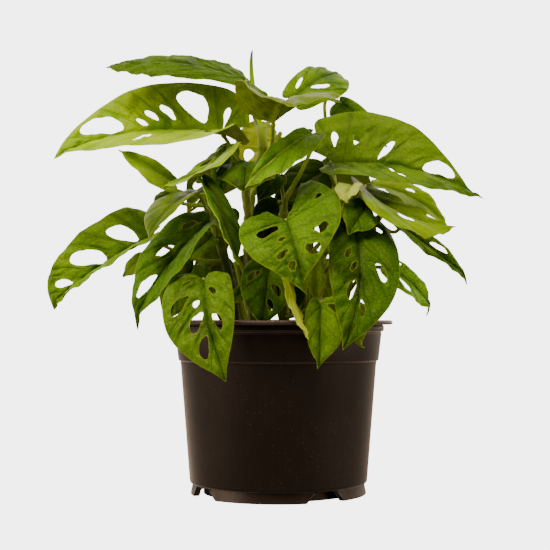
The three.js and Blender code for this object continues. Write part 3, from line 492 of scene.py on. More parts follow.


# Each leaf's tone is a gain that paints light and shade for how brightly the leaf is lit, on top of its
# own green.
LEAVES: dict[str, Leaf] = {
    "crown_left": Leaf(
        "stem_centre", 0.97, base=(-19, 4, 236), tip=(-97, -18, 240), face=(0, -0.5, 0.87), half=(18, 20),
        arch=6.5, fold=(-2, (6, -8)), curl=-8, lobe=12, sinus=(0.3, 0.2), wide=(0.6, 0.33),
        blunt=(0.15, 0), droop=(0, 25), via=(0, 10, 0), quilt=0.7, wave=(0.6, 6), stalk=1.3, tone=0.68,
        look=Look.CROWN,
    ),
    "upper_left": Leaf(
        "stem_centre", 0.72, base=(-32, 0, 205), tip=(-128, -14, 190), face=(-0.1, -0.66, 0.74),
        half=(25, 32), arch=9, fold=((48, 12, 8), 27), curl=(5, 0), lobe=(17, 19), sinus=(0.15, 0.25),
        wide=(0.3, 0.16), blunt=(-0.05, 0.05), droop=(26, 0),
        veins=((0, 0.3, 0.44, 0.56, 0.66, 0.76, 0.88, 1), (0, 0.2, 0.35, 0.52, 0.59, 0.65, 0.7, 0.86, 1)),
        holes_left=((1, 0.35, 0.6, 0.3), (3, 0.45, 0.75, 0.4)),
        holes_right=((1, 0.08, 0.6, 0.45), (2, 0.15, 0.8, 0.6), (3, 0.2, 0.55, 0.45),
                     (4, 0.22, 0.5, 0.45), (5, 0.12, 0.36, 0.5), (6, 0.1, 0.9, 0.7)), quilt=0.7,
        wave=(0.5, 4), hook=(1.5, 0, -1), tone=1.08, look=Look.YOUNG,
    ),
    "crown_front": Leaf(
        "stem_centre", 0.84, base=(-3, -10, 210), tip=(9, -62, 211), face=(-0.1, 0, 1), half=(32, 28),
        arch=7, fold=((32, 6), (24, -5)), curl=(-30, 46), lobe=(-18, 3), sinus=(0.1, 0.3),
        wide=(0.52, 0.26), veins=6, via=(2, 0, 0), quilt=0.6, wave=(0.7, 4), tone=0.95, look=Look.CREST,
    ),
    "crown_right": Leaf(
        "stem_centre", 0.98, base=(8, 10, 227), tip=(37, 46, 248), face=(0.2, -0.7, 0.75), half=(11, 18),
        arch=4, fold=(10, 0), lobe=(2, 4), wide=(0.52, 0.5), blunt=(0.05, 0.25), veins=6, via=(-2, 0, 2),
        holes_left=((2, 0.2, 0.55, 0.55),), holes_right=((3, 0.12, 0.55, 0.65),), wave=(0.6, 4), stalk=1.1,
        tone=0.78, look=Look.FRESH,
    ),
    "crown_back": Leaf(
        "stem_back_left", 0.95, base=(-1, 27, 205), tip=(-21, 28, 183), face=(0.1, 1, 0.1), half=(20, 10),
        arch=2, fold=8, lobe=4, holes_left=((3, 0.35, 0.75, 0.7),), stalk=1.2, tone=1.7, look=Look.SILVER,
    ),
    "small_left": Leaf(
        "stem_left", 1, base=(-59, -8, 176), tip=(-88, -30, 192), face=(-0.3, -0.8, 0.5), half=(11.5, 5.5),
        arch=1, fold=12, wide=0.38, veins=4, quilt=0.4, wave=(0.6, 3), tone=1.35, look=Look.LIME,
    ),
    "shoulder_left": Leaf(
        "stem_centre", 0.7, base=(-29, -12, 195), tip=(-64, -42, 170), face=(-0.2, -0.3, 0.95),
        half=(13, 9), arch=-2, sway=5, fold=(14, 4), lobe=4, holes_right=((2, 0.3, 0.7, 0.5),),
        wave=(0.9, 3), tone=1.75, look=Look.OLIVE,
    ),
    "tucked_left": Leaf(
        "stem_centre", 0.62, base=(-27, 9, 197), tip=(-34, 8, 170), face=(-0.1, -1, 0.2), half=(6, 9),
        arch=1, fold=14, veins=4,
    ),
    "round_centre": Leaf(
        "stem_centre", 0.66, base=(-17, -16, 187), tip=(-19, -46, 167), face=(0, -0.5, 0.85), half=17,
        arch=4, fold=-5, curl=-15, lobe=5, wide=0.38, quilt=0.7, wave=(0.8, 3), tone=0.58,
    ),
    "long_centre": Leaf(
        "stem_front", 1, base=(18, -22, 202), tip=(-18, -52, 169), face=(-0.1, -0.85, 0.5), half=(14, 7),
        arch=4, fold=(16, 14), lobe=4, wide=(0.45, 0.33), wave=(0.9, 4), tone=1.3, look=Look.CROWN,
    ),
    "upper_right": Leaf(
        "stem_right", 0.97, base=(31, -10, 187), tip=(112, -34, 165), face=(0.1, -0.66, 0.74),
        half=(34, 24), arch=8, fold=(27, 14), lobe=(19, 3), sinus=(0.3, 0.15), wide=(0.06, 0.36),
        blunt=(-0.11, 0.05), veins=(0, 0.28, 0.4, 0.5, 0.56, 0.62, 0.72, 0.86, 1),
        holes_left=((1, 0.3, 0.62, 0.3), (2, 0.32, 0.66, 0.4), (4, 0.06, 0.55, 0.45),
                    (6, 0.1, 0.88, 0.65)), holes_right=((4, 0.4, 0.75, 0.5),), quilt=0.8, wave=(0.6, 5),
        tone=0.64, look=Look.FRESH,
    ),
    "behind_right": Leaf(
        "stem_right", 0.93, base=(38, 34, 228), tip=(66, 40, 202), face=(0.15, -1, 0.25), half=(6, 15),
        arch=3, fold=8, veins=4,
    ),
    "shoulder_right": Leaf(
        "stem_right", 0.92, base=(56, 10, 176), tip=(96, -10, 151), face=(0.2, -0.6, 0.75), half=(11, 17),
        arch=5, fold=(12, 14), lobe=5, veins=6, holes_left=((3, 0.35, 0.55, 0.4),),
        holes_right=((2, 0.3, 0.8, 0.6),), wave=(0.7, 4), look=Look.LIME,
    ),
    "folded_right": Leaf(
        "stem_right", 0.85, base=(49, -16, 172), tip=(94, -42, 148), face=(0.3, -0.6, 0.75), half=(9, 20),
        arch=2, sway=-12, fold=(18, (34, -8)), lobe=(4, 1), wide=(0.5, 0.66),
        holes_right=((3, 0.3, 0.6, 0.4),), quilt=0.4, wave=(1.0, 4), hook=(2, 0, 1), tone=0.68,
        look=Look.LIME,
    ),
    "curled_small": Leaf(
        "stem_right", 0.97, base=(40, -39, 171), tip=(36, -50, 161), face=(-0.2, -0.5, 0.85), half=(7, 8),
        arch=2, fold=15, veins=4, via=(-8, 0, -3), wave=(0.9, 3), tone=1.5, look=Look.SILVER,
    ),
    "heart_front": Leaf(
        "stem_front", 0.72, base=(4, -48, 152), tip=(13, -74, 113), face=(-0.1, -0.85, 0.5), half=(31, 27),
        arch=4, sway=1, fold=6, curl=-6, lobe=(32, 13), sinus=(0.5, 0.3), wide=(-0.1, 0.18),
        blunt=(-0.12, 0),
        veins=((0, 0.22, 0.36, 0.52, 0.64, 0.78, 1), (0, 0.2, 0.36, 0.52, 0.64, 0.74, 0.86, 1)),
        holes_left=((1, 0.6, 0.8, 0.25), (3, 0.45, 0.8, 0.5), (4, 0.35, 0.85, 0.5)),
        holes_right=((2, 0.2, 0.68, 0.6), (3, 0.15, 0.35, 0.4), (4, 0.25, 0.65, 0.4), (5, 0.2, 0.62, 0.5)),
        quilt=0.9, wave=(0.6, 4), hook=(1.5, 0, -1.5), tone=0.85,
    ),
    "large_front": Leaf(
        "stem_right", 0.6, base=(41, -42, 148), tip=(33, -76, 83), face=(0.1, -0.93, 0.35), half=(21, 17),
        arch=5, sway=5, fold=(4, 8), curl=-6, lobe=(10, 8),
        veins=((0, 0.2, 0.34, 0.48, 0.6, 0.73, 0.84, 1), (0, 0.2, 0.4, 0.56, 0.63, 0.77, 0.88, 1)),
        holes_left=((1, 0.45, 0.75, 0.4), (3, 0.42, 0.74, 0.55), (5, 0.2, 0.62, 0.4)),
        holes_right=((2, 0.28, 0.5, 0.35), (3, 0.12, 0.38, 0.6), (4, 0.2, 0.62, 0.6)), quilt=0.8,
        wave=(0.6, 4), tone=0.78, look=Look.DARK,
    ),
    "dark_right": Leaf(
        "stem_right", 0.7, base=(48, -38, 160), tip=(37, -53, 144), face=(0.1, -0.9, 0.4), half=11, arch=2,
        fold=8, veins=4, holes_left=((1, 0.3, 0.7, 0.5),), wave=(0.8, 3), look=Look.DARK,
    ),
    "low_right": Leaf(
        "stem_right", 0.45, base=(62, -8, 128), tip=(88, 0, 103), face=(0.5, -0.7, 0.5), half=(8, 13),
        arch=4, fold=12, lobe=4, holes_left=((1, 0.4, 0.8, 0.5),), holes_right=((2, 0.3, 0.8, 0.6),),
        wave=(0.8, 3), hook=(-3, 0, -3), tone=2.1,
    ),
    "thin_right": Leaf(
        "stem_right", 0.82, base=(71, 2, 152), tip=(107, -14, 122), face=(0.3, -0.75, 0.6), half=(7, 8),
        fold=(25, 20), veins=4, via=(0, 6, 12), holes_left=((2, 0.3, 0.8, 0.5),), wave=(0.8, 3),
        hook=(-1, 0, -4), look=Look.FRESH,
    ),
    "pale_rim": Leaf(
        "stem_front", 0.42, base=(4, -58, 120), tip=(15, -76, 88), face=(-0.7, 0.6, 0.1), half=(4, 5),
        arch=1, fold=10, lobe=2, veins=4, via=(9, 0, 2), wave=(0.8, 4), tone=1.3, look=Look.SILVER,
    ),
    "rim_front": Leaf(
        "stem_front", 0.5, base=(22, -63, 107), tip=(21, -70, 74), face=(0, -0.95, 0.3), half=(13, 8),
        arch=1, fold=(5, 15), lobe=(4, 3), holes_left=((1, 0.3, 0.8, 0.6),), wave=(0.8, 3),
        hook=(-1, 0, -1), tone=0.75, look=Look.FRESH,
    ),
    "rim_tip": Leaf(
        "stem_right", 0.45, base=(40, -53, 107), tip=(42, -66, 83), face=(0.1, -0.9, 0.4), half=6, arch=2,
        fold=10, lobe=2, veins=4, hook=(3, 0, 1), look=Look.OLIVE,
    ),
    "olive_front": Leaf(
        "stem_front", 0.58, base=(18, -54, 130), tip=(19, -62, 108), face=(0.2, -0.95, 0.2), half=6,
        arch=1, fold=25, lobe=2, veins=4, look=Look.OLIVE,
    ),
    "low_centre": Leaf(
        "stem_front", 0.4, base=(-5, -38, 128), tip=(-9, -46, 94), face=(0, -0.95, 0.25), half=14, arch=3,
        fold=6, lobe=5, veins=6, holes_left=((3, 0.2, 0.7, 0.55), (4, 0.2, 0.7, 0.5)),
        holes_right=((2, 0.3, 0.8, 0.5),), wave=(0.8, 4), tone=1.2, look=Look.DARK,
    ),
    "dark_low": Leaf(
        "stem_centre", 0.32, base=(-15, -30, 116), tip=(-27, -36, 107), face=(0, -0.8, 0.6), half=5,
        arch=1, fold=8, lobe=2, veins=4, look=Look.SHADE,
    ),
    "rim_left": Leaf(
        "stem_left", 0.4, base=(-40, -50, 120), tip=(-27, -82, 67), face=(-0.1, -0.85, 0.5), half=(15, 23),
        arch=5, sway=-2, fold=6, curl=-5, lobe=5, sinus=0.2, wide=(0.25, 0.36),
        veins=((0, 0.24, 0.38, 0.5, 0.58, 0.72, 0.86, 1), (0, 0.2, 0.36, 0.5, 0.57, 0.7, 0.83, 1)),
        holes_left=((2, 0.15, 0.42, 0.5), (4, 0.22, 0.65, 0.6)),
        holes_right=((1, 0.2, 0.55, 0.35), (2, 0.36, 0.82, 0.6), (3, 0.14, 0.32, 0.6),
                     (4, 0.12, 0.6, 0.6), (5, 0.25, 0.82, 0.6)), quilt=0.8, wave=(0.4, 4), tone=0.76,
        look=Look.SHINY,
    ),
    "large_left": Leaf(
        "stem_left", 0.78, base=(-38, -25, 152), tip=(-79, -46, 97), face=(-0.4, -0.75, 0.5),
        half=(15, 20), arch=5, fold=((40, 5), 10), lobe=(3, 5),
        veins=((0, 0.3, 0.5, 0.7, 0.85, 1), (0, 0.3, 0.44, 0.52, 0.64, 0.71, 0.87, 1)),
        holes_right=((1, 0.25, 0.5, 0.65), (3, 0.28, 0.62, 0.65), (5, 0.14, 0.82, 0.62)), quilt=0.8,
        wave=(0.8, 4), hook=(3, 1, -4), look=Look.DARK,
    ),
    "wide_left": Leaf(
        "stem_left", 0.68, base=(-73, -2, 145), tip=(-127, -18, 106.5), face=(-0.1, -0.6, 0.79),
        half=(16, 26), arch=3, fold=(34, 26), lobe=(5, 10), wide=(0.33, 0.25), blunt=(0.1, 0.3),
        veins=((0, 0.3, 0.5, 0.7, 0.85, 1), (0, 0.12, 0.24, 0.36, 0.52, 0.6, 0.77, 0.82, 0.92, 1)),
        holes_right=((1, 0.3, 0.65, 0.45), (3, 0.06, 0.68, 0.72), (5, 0.03, 0.76, 0.7),
                     (7, 0.1, 0.72, 0.5)), quilt=0.8, wave=(0.9, 5), hook=(1.5, 0, -2.5), tone=0.76,
        look=Look.FRESH,
    ),
    "glossy_left": Leaf(
        "stem_left", 0.9, base=(-46, -28, 169), tip=(-69, -58, 141), face=(-0.5, -0.6, 0.6), half=(8, 17),
        arch=4, fold=(8, 4), lobe=(3, 5), quilt=0.35, tone=0.72, look=Look.OLIVE,
    ),
    "tip_left": Leaf(
        "stem_left", 0.95, base=(-60, -12, 169), tip=(-70, -20, 163), face=(-0.3, -0.8, 0.5), half=5,
        arch=1, fold=5, lobe=2, veins=4, look=Look.OLIVE,
    ),
    "olive_left": Leaf(
        "stem_left", 0.5, base=(-78, 10, 134), tip=(-91, 14, 123), face=(-0.3, -0.8, 0.5), half=6, arch=1,
        fold=5, lobe=2, veins=4, look=Look.OLIVE,
    ),
    "folded_left": Leaf(
        "stem_left", 0.62, base=(-38, -12, 144), tip=(-54, -13, 129), face=(-0.2, -0.8, 0.5), half=8,
        arch=2, fold=15, veins=4, look=Look.FRESH,
    ),
    "inner_low": Leaf(
        "stem_centre", 0.36, base=(3, 12, 124), tip=(4, 13, 98), face=(0, -0.95, 0.3), half=13, arch=1,
        fold=5, veins=4, tone=0.5, look=Look.SHADE,
    ),
    "low_left": Leaf(
        "stem_left", 0.35, base=(-47, -20, 128), tip=(-62, -28, 97), face=(-0.3, -0.8, 0.4), half=(14, 13),
        arch=2, fold=10, veins=4, tone=0.78,
    ),
    "hanging_left": Leaf(
        "stem_left", 0.97, base=(-42, -34, 175), tip=(-22.5, -53, 129), face=(0.3, -0.85, 0.3),
        half=(9, 4), arch=3, fold=(5, 40), lobe=(3, 2), wide=(0.6, 0.33), via=(4, 0, 7), wave=(0.7, 4),
        hook=(1.5, 0, -1), tone=(0.8, 2.6), look=Look.SHADE,
    ),
    "inner_round": Leaf(
        "stem_front", 0.97, base=(0, -10, 180), tip=(-12, -20, 164), face=(0, -0.8, 0.6), half=7, arch=1,
        fold=5, lobe=2, veins=4, look=Look.SHADE,
    ),
    "inner_olive": Leaf(
        "stem_front", 0.9, base=(0, 2, 165), tip=(-8, -1, 132), face=(0, -0.9, 0.4), half=13, arch=1,
        fold=5, veins=4, tone=0.8, look=Look.SHADE,
    ),
    "inner_dark": Leaf(
        "stem_back_right", 0.8, base=(26, 10, 184), tip=(-4, 8, 164), face=(0, -0.9, 0.4), half=13, arch=1,
        fold=5, veins=4, tone=0.7, look=Look.SHADE,
    ),
    "back_1": Leaf(
        "stem_back_right", 0.9, base=(24, 41, 190), tip=(50, 82, 152), face=(0.2, 0.6, 0.8), half=22,
        arch=7, fold=12, lobe=7, holes_left=((2, 0.3, 0.8, 0.6), (4, 0.2, 0.7, 0.5)),
        holes_right=((3, 0.3, 0.75, 0.6),), look=Look.FRESH,
    ),
    "back_2": Leaf(
        "stem_back_left", 0.9, base=(-20, 44, 189), tip=(-58, 84, 165), face=(-0.2, 0.6, 0.8),
        half=(19, 20), arch=7, fold=12, lobe=7, holes_left=((3, 0.3, 0.8, 0.6),),
        holes_right=((4, 0.2, 0.7, 0.5),),
    ),
    "back_3": Leaf(
        "stem_back_left", 0.7, base=(2, 46, 160), tip=(4, 98, 118), face=(0, 0.7, 0.7), half=20, arch=7,
        fold=10, lobe=7, holes_left=((2, 0.3, 0.8, 0.6),), holes_right=((3, 0.3, 0.75, 0.6),),
    ),
    "back_4": Leaf(
        "stem_back_left", 0.6, base=(-36, 30, 160), tip=(-52, 74, 112), face=(-0.4, 0.8, 0.5), half=18,
        arch=5, fold=10, lobe=6, holes_left=((3, 0.3, 0.75, 0.6),), look=Look.DARK,
    ),
    "back_5": Leaf(
        "stem_back_right", 0.7, base=(38, 26, 164), tip=(44, 62, 122), face=(0.2, 0.7, 0.6), half=18,
        arch=5, fold=10, lobe=6, holes_left=((3, 0.3, 0.75, 0.6),), tone=0.7, look=Look.FRESH,
    ),
    "back_6": Leaf(
        "stem_back_left", 0.45, base=(-26, 50, 132), tip=(-15, 82, 74), face=(-0.1, 0.9, 0.35), half=19,
        arch=5, fold=6, lobe=6, holes_left=((2, 0.3, 0.75, 0.6),), holes_right=((3, 0.3, 0.8, 0.6),),
        tone=0.7, look=Look.DARK,
    ),
    "back_7": Leaf(
        "stem_back_right", 0.45, base=(30, 48, 134), tip=(20, 84, 78), face=(0.1, 0.9, 0.35), half=18,
        arch=5, fold=6, lobe=6, holes_left=((3, 0.3, 0.75, 0.6),), holes_right=((2, 0.3, 0.8, 0.6),),
    ),
}


@dataclass
class Blade:
    """A leaf blade: a fine, thin closed sheet with holes, sunken veins, bulges and waved margins."""

    name: str
    leaf: Leaf
    step: float = 1.5  # usual size of a mesh cell
    skin: float = 0.22  # from the middle of the sheet to either side
    rib: float = 0.55  # how far the midrib stands out below
    ridge: float = 0.16  # how far a side vein stands out below
    fan: float = 0.3  # share of the margin whose veins all start at the stalk
    hooked: float = 0.14  # share of the length that bends with the drip tip
    groove: float = 0.5  # how deep the midrib lies
    meet: float = 1.6  # how far from an edge the sheet thins, and over how much the halves' tones meet
    far: float = 30.0  # distance to a side vein that isn't there
    rings: int = 8  # rows of points from a vein gap's border to its hole
    egg: float = 0.16  # how much wider than the middle a hole is at its outer end
    bumps: tuple[float, float] = (9.0, 4.0)  # lengths of the large and the small bulges

    def __post_init__(self) -> None:
        """Works out the place of the flat blade and the midrib's middle point."""
        self.base, self.tip, axis, self.face = self.leaf.frame()
        self.length = float(np.linalg.norm(self.tip - self.base))
        bow = self.leaf.arch * self.face + self.leaf.sway * np.cross(self.face, axis)
        self.middle = (self.base + self.tip) / 2 + 2 * bow

    def of(self, field_name: str, side: int) -> Union[float, Sequence]:
        """The leaf's value for one half.

        Args:
            field_name: a field of kind Halves.
            side: 0 for the left half, 1 for the right.

        Returns:
            the value that holds for that half.
        """
        return pair(getattr(self.leaf, field_name))[side]

    def veins(self, side: int) -> Array:
        """Places of the side veins of one half along its margin.

        Args:
            side: 0 for the left half, 1 for the right.

        Returns:
            places from 0 at the sinus to 1 at the tip.
        """
        veins = self.leaf.veins
        if isinstance(veins, int):
            return np.round(np.linspace(0, 1, veins + 1), 6)
        return np.asarray(veins[side] if isinstance(veins[0], tuple) else veins, float)

    def margin(self, side: int) -> Array:
        """Points of the flat margin of one half, from the sinus round the lobe to the tip.

        Args:
            side: 0 for the left half, 1 for the right.

        Returns:
            u along the midrib and v across it, for each point.
        """
        length, half = self.length, self.of("half", side)
        lobe, sinus, wide, blunt = (self.of(key, side) for key in ("lobe", "sinus", "wide", "blunt"))
        full = wide + 0.05
        rest = 1 - wide - 0.05
        return np.array([
            [-0.9 * lobe, sinus * half],
            [-0.85 * lobe, (0.5 + sinus * 0.4) * half],
            [(wide - 0.24) * length, 0.94 * half],
            [full * length, half],
            [(full + rest * 0.33) * length, (0.86 + 0.2 * blunt) * half],
            [(full + rest * 0.62) * length, (0.54 + 0.7 * blunt) * half],
            [(full + rest * 0.86) * length, (0.18 + blunt) * half],
            [length, 0],
        ])

    def flat(self, a: Array, s: Array, side: int) -> tuple[Array, Array]:
        """Flat place of points that lie along veins.

        Veins start on the midrib at (s - fan) / (1 - fan) to the power 1.4 and run out with u growing
        as a to the power 1.25 while v grows evenly.

        Args:
            a: way out along the vein, 0 at the midrib and 1 at the margin.
            s: the vein's place along the margin.
            side: 0 for the left half, 1 for the right.

        Returns:
            u along the midrib and v across it.
        """
        edge = catmull(self.margin(side), s)
        root = np.maximum(0, (s - self.fan) / (1 - self.fan)) ** 1.4 * self.length
        return root + (edge[..., 0] - root) * a**1.25, edge[..., 1] * a

    def bend(self, u: Array, v: Array, side: int) -> Array:
        """Flat points in space.

        u runs along a quadratic curve for the midrib; v runs across it along a line at the fold angle
        that keeps turning at the rate of the curl. Behind the stalk the sheet droops, and the last of
        the tip moves by the hook times the square of its share.

        Args:
            u: way along the midrib.
            v: way across it.
            side: 0 for the left half, 1 for the right.

        Returns:
            the points.
        """
        share = np.clip(u / self.length, 0, 1)[..., None]
        back = np.minimum(u, 0)[..., None]
        centre = (1 - share) ** 2 * self.base + 2 * share * (1 - share) * self.middle
        centre = centre + share**2 * self.tip
        along = unit((1 - share) * (self.middle - self.base) + share * (self.tip - self.middle))
        up = unit(self.face - (along @ self.face)[..., None] * along)
        droop = math.radians(self.of("droop", side))
        centre = centre + (along * math.cos(droop) + up * math.sin(droop)) * back
        across = np.cross(up, along) * (1 if side == 0 else -1)
        fold_base, fold_tip, *quick = pair(self.of("fold", side))
        change = (1 - share) ** (quick[0] if quick else 1)
        fold = np.radians(fold_tip + (fold_base - fold_tip) * change)
        curl = math.radians(self.of("curl", side) or 1e-4) / self.of("half", side)
        v = v[..., None]
        out = (np.sin(fold + curl * v) - np.sin(fold)) / curl
        rise = (np.cos(fold) - np.cos(fold + curl * v)) / curl
        hook = np.maximum(0, share - (1 - self.hooked)) ** 2 / self.hooked**2
        return centre + across * out + up * rise + hook * np.asarray(self.leaf.hook, float)

    def stations(self) -> Array:
        """Places along the margin where both halves have points.

        Between two veins they follow half a cosine wave, so that they stand closer at the veins.

        Returns:
            the places, 0..1.
        """
        places = np.unique(np.round(np.concatenate([self.veins(0), self.veins(1)]), 6))
        around = 1.15 * (self.length + max(pair(self.leaf.half)))
        parts = []
        for start, end in zip(places[:-1], places[1:]):
            count = max(2, math.ceil((end - start) * around / self.step))
            parts.append(start + (end - start) * (1 - np.cos(np.linspace(0, math.pi, count + 1))) / 2)
        return np.unique(np.round(np.concatenate(parts), 9))

    def cells(self) -> Iterator[tuple[int, Array, Array, Array, float, float]]:
        """The vein gaps of both halves, one after the other.

        A gap with a hole is a ring: its border, drawn in to an egg-shaped opening.

        Yields:
            the half, a and s of a grid of points, their share of the way from a hole (over 1 where there
            is none), and the places of the two veins.
        """
        stations = self.stations()
        x = np.linspace(0, 1, max(5, math.ceil(max(pair(self.leaf.half)) / self.step * 1.05) + 1))
        out = (x + (1 - np.cos(math.pi * x)) / 2) / 2
        for side, holes in ((0, self.leaf.holes_left), (1, self.leaf.holes_right)):
            veins = self.veins(side)
            for gap, (s0, s1) in enumerate(zip(veins[:-1], veins[1:])):
                rows = stations[(stations >= s0 - 1e-8) & (stations <= s1 + 1e-8)]
                hole = next((h for h in holes if h[0] == gap), None)
                if hole is None:
                    a, s = np.meshgrid(out, rows, indexing="ij")
                    yield side, a, s, np.full(a.shape, 99.0), s0, s1
                    continue
                a = np.concatenate([out, np.ones(len(rows) - 2), out[::-1], np.zeros(len(rows) - 2)])
                s = np.concatenate([np.full(len(out), s0), rows[1:-1],
                                    np.full(len(out), s1), rows[-2:0:-1]])
                a, s = np.append(a, a[0]), np.append(s, s[0])
                _, inner, outer, width = hole
                middle, centre = (s0 + s1) / 2, (inner + outer) / 2
                along, over = (a - centre) / (outer - inner) * 2, (s - middle) / (s1 - s0) / width * 2
                size = np.hypot(over / (1 + self.egg * np.clip(along, -1, 1)), along)
                size = np.maximum(size, 1.02)  # a border point always stays outside the hole
                ring = np.linspace(0, 1, self.rings)[None, :]
                draw = 1 - ring * (1 - 1 / size[:, None])
                yield (side, centre + (a[:, None] - centre) * draw, middle + (s[:, None] - middle) * draw,
                       np.repeat(1 - ring, len(a), 0), s0, s1)

    def relief(self, u: Array, v: Array, s: Array, a: Array, over: Array, side: int) -> Array:
        """Height over the smooth sheet: bulges between veins, a sunken midrib and a waved margin.

        Args:
            u: way along the midrib.
            v: way across it.
            s: place along the margin.
            a: way out from the midrib.
            over: share of the way from one side vein to the next.
            side: 0 for the left half, 1 for the right.

        Returns:
            the height in mm.
        """
        seed = sum(map(ord, self.name)) + side
        body = fade(a, 0.12) * fade(1 - a, 0.15)  # the bulges end at the midrib and the margin
        arc = 4 * over * (1 - over)  # and at the side veins
        flat = np.stack([u, v], -1)
        large, small = self.bumps
        bumps = 0.8 * waves(flat, large, seed) + 0.3 * waves(flat, small, seed + 7)
        high = self.leaf.quilt * body * (arc**0.7 * 0.6 + bumps * np.minimum(1, arc * 1.6))
        height, count = self.leaf.wave
        near_tip = fade(1 - s, 0.12) * np.minimum(1, s / 0.06 + 0.3)  # calm at the tip and the stalk
        phase = np.random.default_rng(seed).uniform(0, math.tau, 2)
        swing = np.sin(math.tau * count * s + phase[0])
        swing = swing + 0.35 * np.sin(math.tau * count * 2.6 * s + phase[1])
        waved, turned_down = height * a**3 * near_tip * swing, 0.5 * a**9 * near_tip
        return high - self.groove * falloff(v, 1.3) + waved - turned_down

    def span(self, side: int, first: tuple[Array, Array], second: tuple[Array, Array]) -> Array:
        """Distance in space between points that are given by their way out and their vein.

        Args:
            side: 0 for the left half, 1 for the right.
            first: a and s of the one point of each pair.
            second: a and s of the other.

        Returns:
            the distance of each pair.
        """
        ends = (self.bend(*self.flat(*place, side), side) for place in (first, second))
        return np.linalg.norm(next(ends) - next(ends), axis=-1)

    def build(self) -> bpy.types.Object:
        """Joins the vein gaps of both halves into one sheet and gives it its thickness.

        Returns:
            the finished blade, with its marks for the finish.
        """
        points, faces, keys, marks = [], [], [], []
        count = 0
        for side, a, s, ring, s0, s1 in self.cells():
            u, v = self.flat(a, s, side)
            over = (s - s0) / (s1 - s0)
            place = self.bend(u, v, side)
            full = np.ones(a.shape)
            chord = self.span(side, (a, full * s1), (a, full * s0))
            run = self.span(side, (full, s), (0 * full, s))
            before = over * chord if s0 > 0 else full * self.far
            after = (1 - over) * chord if s1 < 1 else full * self.far
            rim = (1 - a) * run
            if s0 == 0:
                rim = np.minimum(rim, over * chord)
            if ring.max() <= 1:
                thick = np.linalg.norm(place[:, :1] - place[:, -1:], axis=-1)
                rim = np.minimum(rim, ring * thick)
            high = self.relief(u, v, s, a, np.clip(over, 0, 1), side)
            sign = 1 if side == 0 else -1
            mark = np.stack([u, v * sign, np.minimum(before, after), v, rim, high], -1)
            marks.append(mark.reshape(-1, 6))
            # points on the midrib belong to both halves, and all veins of the fan start at the stalk
            on_rib, at_tip = a < 1e-9, s > 1 - 1e-9
            key = np.stack([
                np.where(on_rib | at_tip, 2, side),
                np.where(at_tip, 0, np.round(a * 1e7)),
                np.where(on_rib, np.round(np.maximum(s, self.fan) * 1e7), np.round(s * 1e7))], -1)
            keys.append(key.reshape(-1, 3).astype(np.int64))
            points.append(place.reshape(-1, 3))
            cell = grid_faces(*a.shape)
            faces.append((cell if side == 1 else cell[:, ::-1]) + count)
            count += a.size
        _, first, same = np.unique(np.vstack(keys), axis=0, return_index=True, return_inverse=True)
        sheet = with_area(same.reshape(-1)[np.vstack(faces)])
        return self.thicken(np.vstack(points)[first], sheet, np.vstack(marks)[first])

    def thicken(self, place: Array, tri: Array, mark: Array) -> bpy.types.Object:
        """Lifts the sheet by its relief, gives it two sides and closes every free edge with a wall.

        The piece's marks are vein, rib and rim, the distances in mm to a side vein, the midrib and any
        free edge; under, which is 1 on the underside; and tone, the gain of the colours, which paints
        light and shade for how the leaf is lit as well as its own green.

        Args:
            place: vertices of the smooth sheet.
            tri: its triangles, upper side out.
            mark: u, v, vein, rib, rim and relief of every vertex.

        Returns:
            the closed piece.
        """
        u, v, vein, rib, rim, high = mark.T
        lifted = place + vertex_normals(place, tri) * high[:, None]
        normal = vertex_normals(lifted, tri)
        thin = (0.5 + 0.5 * fade(rim, self.meet))[:, None]
        share = np.clip(u / self.length, 0, 1)
        below = self.rib * falloff(rib, 1.0) * (1 - 0.75 * share) + self.ridge * falloff(vein, 0.6)
        upper = lifted + normal * self.skin * thin
        lower = lifted - normal * (self.skin + below[:, None]) * thin
        edge = np.concatenate([tri[:, [0, 1]], tri[:, [1, 2]], tri[:, [2, 0]]])
        _, which, times = np.unique(np.sort(edge, axis=1), axis=0, return_inverse=True, return_counts=True)
        start, end = edge[times[which.reshape(-1)] == 1].T
        n = len(place)
        walls = np.concatenate([
            np.stack([end, start, start + n], -1), np.stack([end, start + n, end + n], -1)])
        faces = np.concatenate([tri, tri[:, ::-1] + n, walls])
        both = {"u": u, "v": v, "vein": vein, "rib": rib, "rim": rim}
        left, right = pair(self.leaf.tone)
        # painted light and shade: each half's gain for how brightly it is lit
        both["tone"] = right + (left - right) * np.clip(0.5 + v / self.meet, 0, 1)
        both = {key: np.tile(values, 2) for key, values in both.items()}
        both["under"] = np.repeat([0.0, 1.0], n)
        return make_object("blade_" + self.name, np.vstack([upper, lower]), faces, both, 55.0)


# ------------------------------------------------------------------ materials


